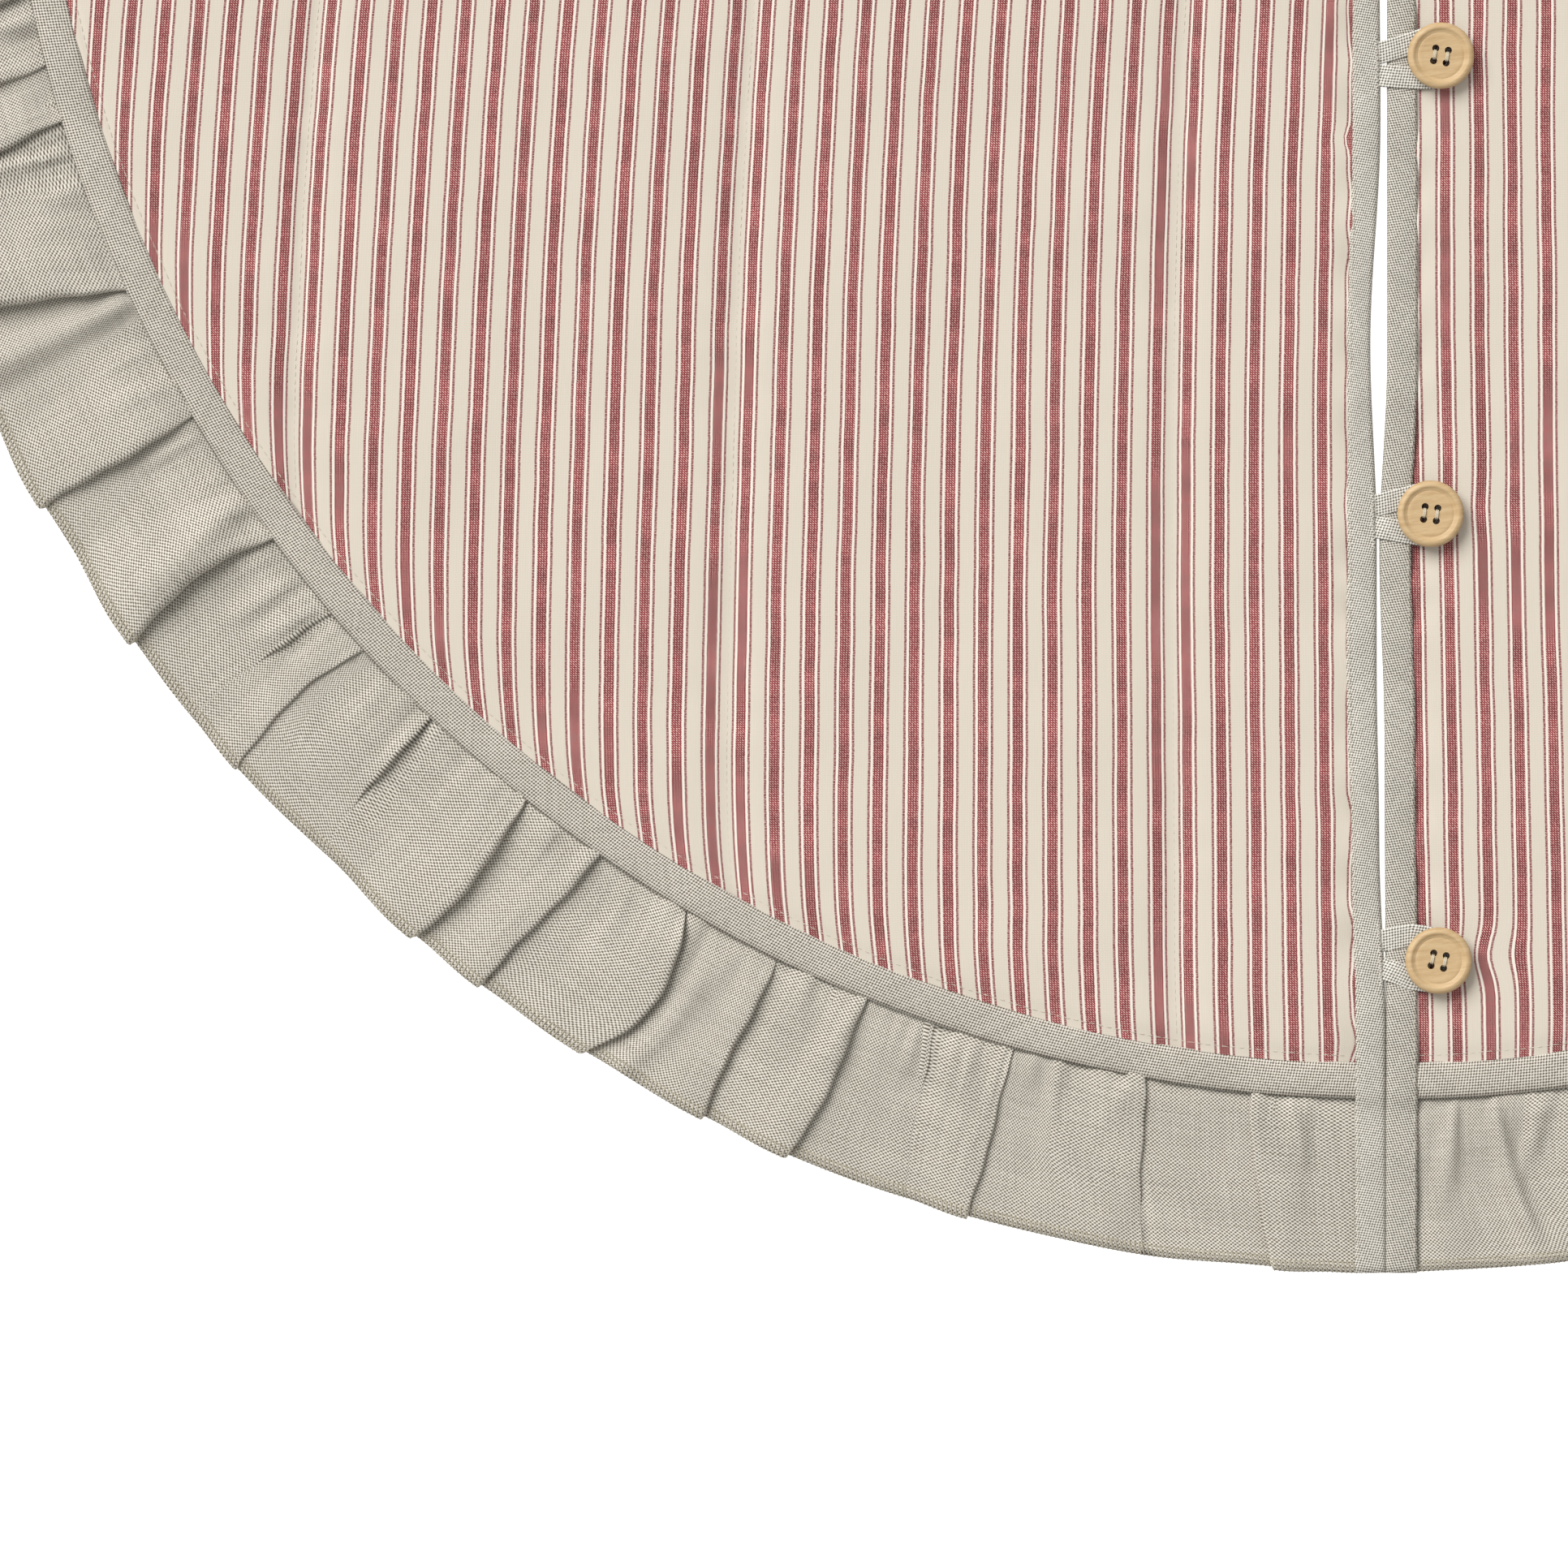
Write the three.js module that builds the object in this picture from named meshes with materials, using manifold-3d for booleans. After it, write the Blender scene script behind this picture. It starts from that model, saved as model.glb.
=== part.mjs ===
// Round Christmas-tree skirt: ticking top over batting and a lining, a narrow linen band, a
// knife-pleated linen ruffle, bound slit and trunk hole, three wooden buttons with linen loops.
// Millimetres, +Z up. The origin is the middle of the trunk hole on the floor, and the slit
// runs along -Y. The cloth is split along X: the two front quarters fold back over the back half.
import * as THREE from 'three';
import { mergeVertices } from 'three/addons/utils/BufferGeometryUtils.js';
import Module from 'manifold-3d';

// Plan radii
const TRUNK_HOLE_R = 76;
const PANEL_R = 525.4;
const BAND_OUTER_R = 539;
const HEM_R = 610;

// Cloth layers, from the floor up
const LINING_TOP = 0.6;
const BATTING = [0.9, 3.3];
const TOP_CLOTH = [3.6, 4.3];
const GAP = 0.3;

// Bindings: a folded strip round a raw edge
const BINDING_W = 11.4;
const BINDING_T = 0.5;
const BINDING_TOP = 5.2;
const BINDING_TOP_AT_RUFFLE = 2.6;
const SLIT_HALF = 1.6;
const EDGE_CLEARANCE = 1.1;

// Pleated ruffle
const PLEAT_PITCH = 35;
const LINEN_T = 0.7;
const PLEAT_DEPTH_AT_BAND = 13;
const PLEAT_DEPTH_AT_HEM = 10;
const PLEAT_LIFT_AT_BAND = 1.2;
const PLEAT_LIFT_AT_HEM = 2;
const PLEAT_RISE = 5;
const PLAIN_AT_FOLD = 10;
const PLAIN_AT_SLIT = 6;
const BOUND_EDGE_Z = 1.25;

// Buttons and loops, as [across the slit, along the slit]
const BUTTON_AT = [[22.0, -132.6], [18.0, -311.3], [21.1, -485.6]];
const BUTTON_R = 13;
const BUTTON_BASE = 7.8;
const BUTTON_T = 4;
const BUTTON_RIM_W = 3.6;
const BUTTON_DISH = 1.3;
const BUTTON_HOLE_R = 1.25;
const BUTTON_HOLE_SPACING = 5;
const BUTTON_TURN = THREE.MathUtils.degToRad(-10);
const THREAD_R = 0.8;
const KNOT_Z = [7.1, 7.5];
const SHANK_R = 2;
const SHANK_Z = [4.6, 6.8];
const LOOP_W = 18;
const LOOP_STRAND_W = 6.4;
const LOOP_Z = [5.5, 6.7];
const LOOP_PAST_BUTTON = 5.2;

const ARC_STEP = Math.PI / 64;
const HALF_TURN = Math.PI;

// Each sector of cloth runs anticlockwise between two straight edges
const SECTORS = [
  { name: 'back', from: 0, to: HALF_TURN, slit: null },
  { name: 'left', from: HALF_TURN, to: 1.5 * HALF_TURN, slit: 'to' },
  { name: 'right', from: 1.5 * HALF_TURN, to: 2 * HALF_TURN, slit: 'from' },
];

const COLOURS = {
  ticking: { color: 0xc79a8e, roughness: 0.92 },
  linen: { color: 0xb4aca0, roughness: 0.95 },
  batting: { color: 0xf2efe8, roughness: 1.0 },
  lining: { color: 0xe2d8c6, roughness: 0.95 },
  wood: { color: 0xc9a877, roughness: 0.55 },
  thread: { color: 0xe8dfcc, roughness: 0.8 },
};

const wasm = await Module();
wasm.setup();

const skirt = new THREE.Group();
skirt.name = 'tree_skirt';

function add(name, geometry, look) {
  const material = new THREE.MeshStandardMaterial({ ...COLOURS[look], metalness: 0 });
  material.name = look;
  const mesh = new THREE.Mesh(geometry, material);
  mesh.name = name;
  skirt.add(mesh);
}

// Positions only, welded, as a solid for the booleans
function toSolid(geometry) {
  const bare = new THREE.BufferGeometry();
  bare.setAttribute('position', geometry.getAttribute('position'));
  if (geometry.index) bare.setIndex(geometry.index);
  const welded = mergeVertices(bare, 1e-4);
  return new wasm.Manifold(new wasm.Mesh({
    numProp: 3,
    vertProperties: Float32Array.from(welded.getAttribute('position').array),
    triVerts: Uint32Array.from(welded.index.array),
  }));
}

function fromSolid(solid) {
  const mesh = solid.getMesh();
  const geometry = new THREE.BufferGeometry();
  geometry.setAttribute('position', new THREE.BufferAttribute(Float32Array.from(mesh.vertProperties), 3));
  geometry.setIndex(new THREE.BufferAttribute(Uint32Array.from(mesh.triVerts), 1));
  return geometry;
}

// Where a sector starts and stops at a radius, with its straight edges set back by the two insets
function span(sector, radius, slitInset) {
  const inset = (end) => Math.asin((sector.slit === end ? slitInset : GAP) / radius);
  return [sector.from + inset('from'), sector.to - inset('to')];
}

// A flat ring sector between two heights
function plate(sector, innerR, outerR, [low, high], slitInset) {
  const arc = (radius, reverse) => {
    const [start, stop] = span(sector, radius, slitInset);
    const count = Math.ceil((sector.to - sector.from) / ARC_STEP);
    const points = Array.from({ length: count + 1 }, (_, k) => {
      const angle = start + ((stop - start) * k) / count;
      return new THREE.Vector2(radius * Math.cos(angle), radius * Math.sin(angle));
    });
    return reverse ? points.reverse() : points;
  };
  const shape = new THREE.Shape([...arc(outerR, false), ...arc(innerR, true)]);
  const geometry = new THREE.ExtrudeGeometry(shape, { depth: high - low, bevelEnabled: false });
  return geometry.translate(0, 0, low);
}

// A closed skin over matching outlines; place turns an outline's point into a point in space
function loft(outlines, place) {
  const count = outlines[0].length;
  const vertices = outlines.flatMap((outline, k) => outline.flatMap((point) => place(point, k)));
  const faces = [];
  for (let k = 0; k + 1 < outlines.length; k += 1) {
    for (let i = 0; i < count; i += 1) {
      const j = (i + 1) % count;
      const [a, b, c, d] = [k * count + i, k * count + j, (k + 1) * count + j, (k + 1) * count + i];
      faces.push(a, b, c, a, c, d);
    }
  }
  const last = (outlines.length - 1) * count;
  for (const [outline, first, atStart] of [[outlines[0], 0, true], [outlines.at(-1), last, false]]) {
    const flat = outline.map(([x, y]) => new THREE.Vector2(x, y));
    const flip = atStart !== THREE.ShapeUtils.isClockWise(flat);
    for (const [a, b, c] of THREE.ShapeUtils.triangulateShape(flat, [])) {
      faces.push(first + a, first + (flip ? c : b), first + (flip ? b : c));
    }
  }
  const geometry = new THREE.BufferGeometry();
  geometry.setAttribute('position', new THREE.Float32BufferAttribute(vertices, 3));
  geometry.setIndex(faces);
  return outward(geometry);
}

// Turns the skin the right way out
function outward(geometry) {
  const position = geometry.getAttribute('position');
  const index = geometry.index.array;
  const [a, b, c] = [new THREE.Vector3(), new THREE.Vector3(), new THREE.Vector3()];
  let volume = 0;
  for (let i = 0; i < index.length; i += 3) {
    a.fromBufferAttribute(position, index[i]);
    b.fromBufferAttribute(position, index[i + 1]);
    c.fromBufferAttribute(position, index[i + 2]);
    volume += a.dot(b.cross(c));
  }
  if (volume < 0) for (let i = 0; i < index.length; i += 3) {
    [index[i], index[i + 1]] = [index[i + 1], index[i]];
  }
  return geometry;
}

// The outline of a strip of even thickness along an open path
function ribbon(path, thickness) {
  const side = (sign) => path.map(([x, y], k) => {
    const before = path[Math.max(k - 1, 0)];
    const after = path[Math.min(k + 1, path.length - 1)];
    const into = new THREE.Vector2(x - before[0], y - before[1]).normalize();
    const out = new THREE.Vector2(after[0] - x, after[1] - y).normalize();
    if (k === 0) into.copy(out);
    if (k === path.length - 1) out.copy(into);
    const normal = new THREE.Vector2(-into.y - out.y, into.x + out.x).normalize();
    const reach = (sign * thickness) / 2 / (normal.x * -into.y + normal.y * into.x);
    return [x + normal.x * reach, y + normal.y * reach];
  });
  return [...side(1), ...side(-1).reverse()];
}

// The strip's way along the floor at one radius: arc length from the sector's start, and height
function pleatPath(sector, radius, depth, lift) {
  const floor = LINEN_T / 2;
  const [middle, top] = [floor + lift, floor + 2 * lift];
  const length = radius * (sector.to - sector.from);
  const hidden = SLIT_HALF + BINDING_T + EDGE_CLEARANCE;
  const mouth = SLIT_HALF + BINDING_W;
  const boundEdge = [[hidden, BOUND_EDGE_Z], [mouth + 1, BOUND_EDGE_Z], [mouth + 3.5, floor]];
  const foldEdge = [[GAP, floor]];
  const head = sector.slit === 'from' ? boundEdge : foldEdge;
  const tail = sector.slit === 'to' ? boundEdge : foldEdge;
  const plain = (end) => (sector.slit === end ? mouth + PLAIN_AT_SLIT : PLAIN_AT_FOLD);
  const count = Math.round((BAND_OUTER_R * (sector.to - sector.from)) / PLEAT_PITCH);
  const start = plain('from');
  const pitch = (length - plain('to') - start) / count;
  const pleats = Array.from({ length: count }, (_, k) => start + pitch * (k + 0.75)).flatMap((edge) => [
    [edge - depth - PLEAT_RISE, floor],
    [edge - depth - PLEAT_RISE / 4, top],
    [edge, top],
    [edge + lift / 2, (top + middle) / 2],
    [edge, middle],
    [edge - depth, middle],
    [edge - depth - lift / 2, (middle + floor) / 2],
    [edge - depth, floor],
  ]);
  return [...head, ...pleats, ...tail.map(([s, z]) => [length - s, z]).reverse()];
}

function ruffle(sector) {
  const rings = [
    [BAND_OUTER_R + GAP, PLEAT_DEPTH_AT_BAND, PLEAT_LIFT_AT_BAND],
    [HEM_R, PLEAT_DEPTH_AT_HEM, PLEAT_LIFT_AT_HEM],
  ];
  const outlines = rings.map(([radius, depth, lift]) => (
    ribbon(pleatPath(sector, radius, depth, lift), LINEN_T)));
  return loft(outlines, ([s, z], k) => {
    const radius = rings[k][0];
    const angle = sector.from + s / radius;
    return [radius * Math.cos(angle), radius * Math.sin(angle), z];
  });
}

// A binding's section: distance in from the bound edge, and height
function bindingSection(top) {
  const [t, w] = [BINDING_T, BINDING_W];
  return [[w, 0], [0, 0], [0, top], [w, top], [w, top - t], [t, top - t], [t, t], [w, t]];
}

function neckBinding(sector) {
  const [start, stop] = span(sector, TRUNK_HOLE_R, SLIT_HALF + BINDING_W + GAP);
  const count = Math.ceil((sector.to - sector.from) / ARC_STEP / 2);
  const outlines = Array.from({ length: count + 1 }, () => bindingSection(BINDING_TOP));
  return loft(outlines, ([inward, z], k) => {
    const angle = start + ((stop - start) * k) / count;
    const radius = TRUNK_HOLE_R + inward;
    return [radius * Math.cos(angle), radius * Math.sin(angle), z];
  });
}

// Runs from the trunk hole to the hem, and steps down where the ruffle begins
function slitBinding(side) {
  const stations = [
    [TRUNK_HOLE_R, BINDING_TOP],
    [BAND_OUTER_R + GAP, BINDING_TOP],
    [BAND_OUTER_R + BINDING_W / 2, BINDING_TOP_AT_RUFFLE],
    [HEM_R, BINDING_TOP_AT_RUFFLE],
  ];
  const outlines = stations.map(([, top]) => bindingSection(top));
  return loft(outlines, ([inward, z], k) => [side * (SLIT_HALF + inward), -stations[k][0], z]);
}

function rod(radius, low, high, x, y) {
  const geometry = new THREE.CylinderGeometry(radius, radius, high - low, 16);
  return geometry.rotateX(HALF_TURN / 2).translate(x, y, (low + high) / 2);
}

// The four holes' places round a button's middle
function holesRound([x, y]) {
  const half = BUTTON_HOLE_SPACING / 2;
  return [[-1, -1], [-1, 1], [1, -1], [1, 1]].map(([i, j]) => {
    const place = new THREE.Vector2(i * half, j * half).rotateAround(new THREE.Vector2(), BUTTON_TURN);
    return [x + place.x, y + place.y];
  });
}

// A turned disc with a raised round rim and a dished middle, drilled four times
function button(at) {
  const [rimTop, dish] = [BUTTON_T, BUTTON_T - BUTTON_DISH];
  const rimInner = BUTTON_R - BUTTON_RIM_W;
  const profile = [
    [0, 0], [BUTTON_R - 2, 0], [BUTTON_R - 0.5, 0.8], [BUTTON_R, 2], [BUTTON_R - 0.5, rimTop - 0.8],
    [BUTTON_R - 1.6, rimTop], [BUTTON_R - 2.6, rimTop - 0.3], [rimInner, dish], [0, dish - 0.3],
  ].map(([r, z]) => new THREE.Vector2(r, z));
  const disc = new THREE.LatheGeometry(profile, 40).rotateX(HALF_TURN / 2);
  const place = toSolid(outward(mergeVertices(stripped(disc), 1e-4))).translate([...at, BUTTON_BASE]);
  const drills = holesRound(at).map(([x, y]) => (
    toSolid(rod(BUTTON_HOLE_R, BUTTON_BASE - 1, BUTTON_BASE + BUTTON_T + 1, x, y))));
  return fromSolid(wasm.Manifold.difference([place, ...drills]));
}

function stripped(geometry) {
  const bare = new THREE.BufferGeometry();
  bare.setAttribute('position', geometry.getAttribute('position'));
  bare.setIndex(geometry.index);
  return bare;
}

// Thread through the four holes: two bars over the button, and a knot under it
function buttonThread(at) {
  const barZ = BUTTON_BASE + BUTTON_T - BUTTON_DISH + THREAD_R;
  const holes = holesRound(at);
  const posts = holes.map(([x, y]) => rod(THREAD_R, KNOT_Z[0], barZ, x, y));
  const bars = [[holes[0], holes[1]], [holes[2], holes[3]]].map(([[x0, y0], [x1, y1]]) => {
    const length = Math.hypot(x1 - x0, y1 - y0) + 2 * THREAD_R;
    return new THREE.BoxGeometry(2 * THREAD_R, length, 2 * THREAD_R)
      .rotateZ(BUTTON_TURN)
      .translate((x0 + x1) / 2, (y0 + y1) / 2, barZ);
  });
  const knot = rod(BUTTON_HOLE_SPACING, ...KNOT_Z, ...at);
  return fromSolid(wasm.Manifold.union([...posts, ...bars, knot].map(toSolid)));
}

// A folded strip that leaves the left edge, goes round the shank and comes back
function loop([x, y]) {
  const root = -SLIT_HALF + GAP;
  const bend = x + LOOP_PAST_BUTTON - LOOP_W / 2 + LOOP_STRAND_W;
  const half = LOOP_W / 2;
  const inner = half - LOOP_STRAND_W;
  const shape = new THREE.Shape();
  shape.moveTo(root, y - half);
  shape.lineTo(bend, y - half);
  shape.absarc(bend, y, half, -HALF_TURN / 2, HALF_TURN / 2);
  shape.lineTo(root, y + half);
  shape.lineTo(root, y + inner);
  shape.lineTo(bend, y + inner);
  shape.absarc(bend, y, inner, HALF_TURN / 2, -HALF_TURN / 2, true);
  shape.lineTo(root, y - inner);
  const depth = LOOP_Z[1] - LOOP_Z[0];
  return new THREE.ExtrudeGeometry(shape, { depth, bevelEnabled: false, curveSegments: 12 })
    .translate(0, 0, LOOP_Z[0]);
}

const boundInset = SLIT_HALF + BINDING_T + EDGE_CLEARANCE;
const liningInset = SLIT_HALF + BINDING_W + GAP;
const coveredR = TRUNK_HOLE_R + BINDING_T + EDGE_CLEARANCE;
const liningR = TRUNK_HOLE_R + BINDING_W + GAP;
const bandInnerR = PANEL_R + GAP;

for (const sector of SECTORS) {
  const { name } = sector;
  add(`lining_${name}`, plate(sector, liningR, BAND_OUTER_R, [0, LINING_TOP], liningInset), 'lining');
  add(`batting_${name}`, plate(sector, coveredR, BAND_OUTER_R, BATTING, boundInset), 'batting');
  add(`ticking_top_${name}`, plate(sector, coveredR, PANEL_R, TOP_CLOTH, boundInset), 'ticking');
  add(`band_${name}`, plate(sector, bandInnerR, BAND_OUTER_R, TOP_CLOTH, boundInset), 'linen');
  add(`ruffle_${name}`, ruffle(sector), 'linen');
  add(`neck_binding_${name}`, neckBinding(sector), 'linen');
}
add('slit_binding_left', slitBinding(-1), 'linen');
add('slit_binding_right', slitBinding(1), 'linen');

BUTTON_AT.forEach((at, k) => {
  add(`loop_${k + 1}`, loop(at), 'linen');
  add(`button_shank_${k + 1}`, rod(SHANK_R, ...SHANK_Z, ...at), 'thread');
  add(`button_${k + 1}`, button(at), 'wood');
  add(`button_thread_${k + 1}`, buttonThread(at), 'thread');
});

export default skirt;
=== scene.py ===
import math

import bmesh
import bpy
import numpy as np
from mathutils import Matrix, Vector


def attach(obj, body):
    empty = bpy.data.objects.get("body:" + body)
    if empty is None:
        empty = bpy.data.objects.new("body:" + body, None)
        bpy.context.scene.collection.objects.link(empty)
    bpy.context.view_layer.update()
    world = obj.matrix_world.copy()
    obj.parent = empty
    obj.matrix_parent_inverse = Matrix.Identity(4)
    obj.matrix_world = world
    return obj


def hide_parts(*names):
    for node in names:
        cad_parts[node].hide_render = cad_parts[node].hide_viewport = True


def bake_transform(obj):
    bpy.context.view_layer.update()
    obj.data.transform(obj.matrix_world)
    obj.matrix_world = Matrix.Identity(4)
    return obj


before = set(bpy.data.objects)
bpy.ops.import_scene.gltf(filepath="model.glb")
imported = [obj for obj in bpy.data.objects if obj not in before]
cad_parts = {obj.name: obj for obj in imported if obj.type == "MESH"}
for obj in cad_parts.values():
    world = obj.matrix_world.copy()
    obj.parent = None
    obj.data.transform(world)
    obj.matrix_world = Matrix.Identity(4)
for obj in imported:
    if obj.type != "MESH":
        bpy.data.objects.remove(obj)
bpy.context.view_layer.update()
mm = 0.001

# the skirt lies on the floor round the trunk hole: mm, +Z up, the slit runs down -Y
skirt = dict(
    holeRadius=76, panelRadius=525.4, bandRadius=539, hemRadius=610,
    topZ=4.1,
    foldReach=15,  # a reach from the X axis
)
sides = {"left": -1, "right": 1}


def softNoise(x, y, size, seed):
    # smooth random hills from -1 to 1, about size apart
    table = np.random.default_rng(seed).uniform(-1, 1, (128, 128))
    gx, gy = np.asarray(x, float) / size + 64, np.asarray(y, float) / size + 64
    ix, iy = np.floor(gx).astype(int), np.floor(gy).astype(int)
    fx, fy = gx - ix, gy - iy
    fx, fy = fx * fx * (3 - 2 * fx), fy * fy * (3 - 2 * fy)
    pick = lambda i, j: table[i % 128, j % 128]
    low = pick(ix, iy) * (1 - fx) + pick(ix + 1, iy) * fx
    high = pick(ix, iy + 1) * (1 - fx) + pick(ix + 1, iy + 1) * fx
    return low * (1 - fy) + high * fy


def smoothStep(low, high, x):
    t = np.clip((np.asarray(x, float) - low) / (high - low), 0, 1)
    return t * t * (3 - 2 * t)


def gridFaces(rows, columns, first=0, wrapColumns=False):
    wide = columns if wrapColumns else columns - 1
    i, j = np.meshgrid(np.arange(rows - 1), np.arange(wide), indexing="ij")
    i, j = i.ravel(), j.ravel()
    k = (j + 1) % columns
    here, above = i * columns, (i + 1) * columns
    return first + np.stack([here + j, here + k, above + k, above + j], 1)


def makePiece(name, points, faces, cloth, look, smoothAngle=None, weld=None):
    # points and cloth coordinates in mm, one of each per corner; faces is one array of them, or several
    groups = [np.asarray(f, dtype=np.int32) for f in (faces if isinstance(faces, list) else [faces])]
    corners = np.concatenate([f.ravel() for f in groups])
    sizes = np.concatenate([np.full(len(f), f.shape[1]) for f in groups])
    starts = np.concatenate([[0], np.cumsum(sizes)[:-1]])
    mesh = bpy.data.meshes.new(name)
    mesh.vertices.add(len(points))
    mesh.vertices.foreach_set("co", (np.asarray(points, float) * mm).astype(np.float32).ravel())
    mesh.loops.add(len(corners))
    mesh.loops.foreach_set("vertex_index", corners)
    mesh.polygons.add(len(starts))
    mesh.polygons.foreach_set("loop_start", starts.astype(np.int32))
    mesh.update(calc_edges=True)
    layer = mesh.uv_layers.new(name="cloth")
    layer.data.foreach_set("uv", (np.asarray(cloth, float) * mm)[corners].astype(np.float32).ravel())
    mesh.materials.append(look)
    shape = bmesh.new()
    shape.from_mesh(mesh)
    if weld:
        bmesh.ops.remove_doubles(shape, verts=shape.verts, dist=weld * mm)
    bmesh.ops.recalc_face_normals(shape, faces=shape.faces)
    shape.to_mesh(mesh)
    shape.free()
    mesh.polygons.foreach_set("use_smooth", np.ones(len(mesh.polygons), dtype=bool))
    if smoothAngle:
        mesh.set_sharp_from_angle(angle=math.radians(smoothAngle))
    piece = bpy.data.objects.new(name, mesh)
    bpy.context.scene.collection.objects.link(piece)
    return piece


def shell(grid, cloth, thickness):
    # a closed skin of even thickness round a grid of points; returns points, faces, cloth coordinates
    across = np.gradient(grid, axis=1)
    along = np.gradient(grid, axis=0)
    normal = np.cross(along, across)
    length = np.linalg.norm(normal, axis=2, keepdims=True)
    normal = normal / np.maximum(length, 1e-9)
    rows, columns = grid.shape[:2]
    half = np.asarray(thickness, float)
    half = (half if half.ndim == 0 else half[..., None]) / 2
    points = np.concatenate([(grid + normal * half).reshape(-1, 3), (grid - normal * half).reshape(-1, 3)])
    count = rows * columns
    upper = gridFaces(rows, columns)
    index = np.arange(count).reshape(rows, columns)
    edge = np.concatenate([index[0, :], index[1:, -1], index[-1, -2::-1], index[-2:0:-1, 0]])
    following = np.roll(edge, -1)
    rim = np.stack([edge, following, following + count, edge + count], 1)
    faces = np.concatenate([upper, upper[:, ::-1] + count, rim])
    return points, faces, np.concatenate([cloth.reshape(-1, 2)] * 2)


def rideHalf(piece):
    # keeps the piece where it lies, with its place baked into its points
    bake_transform(piece)
    return piece


# ---- looks: a wire is a socket that can be added, multiplied and so on


class Wire:
    def __init__(self, look, socket):
        self.look, self.socket = look, socket

    def __add__(self, other):
        return self.look.math("ADD", self, other)

    def __sub__(self, other):
        return self.look.math("SUBTRACT", self, other)

    def __rsub__(self, other):
        return self.look.math("SUBTRACT", other, self)

    def __mul__(self, other):
        return self.look.math("MULTIPLY", self, other)

    def __truediv__(self, other):
        return self.look.math("DIVIDE", self, other)

    def __neg__(self):
        return self.look.math("MULTIPLY", self, -1)

    __radd__ = __add__
    __rmul__ = __mul__


class Look:
    def __init__(self, name, **sockets):
        self.material = bpy.data.materials.new(name)
        self.material.use_nodes = True
        self.tree = self.material.node_tree
        self.tree.nodes.clear()
        self.shader = self.node("ShaderNodeBsdfPrincipled", {}, {k: v for k, v in sockets.items()})
        self.node("ShaderNodeOutputMaterial", {}, {"Surface": Wire(self, self.shader.outputs[0])})

    def node(self, kind, settings, values):
        node = self.tree.nodes.new(kind)
        stops = settings.pop("stops", None)
        for key, value in settings.items():
            setattr(node, key, value)
        if stops:
            ramp = node.color_ramp
            while len(ramp.elements) < len(stops):
                ramp.elements.new(1)
            for element, (place, shade) in zip(ramp.elements, stops):
                element.position, element.color = place, shade
        for key, value in values.items():
            if isinstance(value, Wire):
                self.tree.links.new(value.socket, node.inputs[key])
            else:
                node.inputs[key].default_value = value
        return node

    def math(self, operation, *values, clamp=False):
        settings = {"operation": operation, "use_clamp": clamp}
        return Wire(self, self.node("ShaderNodeMath", settings, dict(enumerate(values))).outputs[0])

    def cloth(self):
        # the piece's own cloth coordinates, in mm
        place = self.node("ShaderNodeUVMap", {"uv_map": "cloth"}, {})
        split = self.node("ShaderNodeSeparateXYZ", {}, {0: Wire(self, place.outputs[0])})
        return Wire(self, split.outputs[0]) * 1000, Wire(self, split.outputs[1]) * 1000

    def vector(self, x, y, z=0.0):
        return Wire(self, self.node("ShaderNodeCombineXYZ", {}, {0: x, 1: y, 2: z}).outputs[0])

    def noise(self, vector, scale, detail=2.0, roughness=0.5):
        values = {"Vector": vector, "Scale": scale, "Detail": detail, "Roughness": roughness}
        return Wire(self, self.node("ShaderNodeTexNoise", {}, values).outputs[0])

    def mix(self, share, first, second, blend="MIX"):
        settings = {"data_type": "RGBA", "blend_type": blend}
        return Wire(self, self.node("ShaderNodeMix", settings, {0: share, 6: first, 7: second}).outputs[2])

    def step(self, value, low, high, start=0.0, end=1.0):
        settings = {"interpolation_type": "SMOOTHSTEP"}
        values = {0: value, 1: low, 2: high, 3: start, 4: end}
        return Wire(self, self.node("ShaderNodeMapRange", settings, values).outputs[0])

    def cosine(self, value):
        return self.math("COSINE", value)

    def finish(self, colour, height=None, strength=0.4, depth=0.0002):
        self.tree.links.new(colour.socket, self.shader.inputs["Base Color"])
        if height is not None:
            values = {"Height": height, "Strength": strength, "Distance": depth}
            bump = self.node("ShaderNodeBump", {}, values)
            self.tree.links.new(bump.outputs[0], self.shader.inputs["Normal"])
        return self.material


def shade(red, green, blue, dim=0.80):
    # a colour as it looks on screen, from 0 to 255, as the paint that gives it under these lights
    def straight(c):
        c = c / 255
        return c / 12.92 if c <= 0.04045 else ((c + 0.055) / 1.055) ** 2.4
    return (straight(red) * dim, straight(green) * dim, straight(blue) * dim, 1)


ticking = dict(
    repeat=13.09, redHalf=1.98, whiteTo=2.93, pinTo=3.88,
    acrossThread=0.97, alongThread=0.9,
    cream=shade(230, 219, 202), white=shade(250, 242, 228),
    red=shade(186, 90, 88), deepRed=shade(124, 42, 48), paleRed=shade(240, 204, 194),
    pin=shade(128, 52, 54),
)


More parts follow.
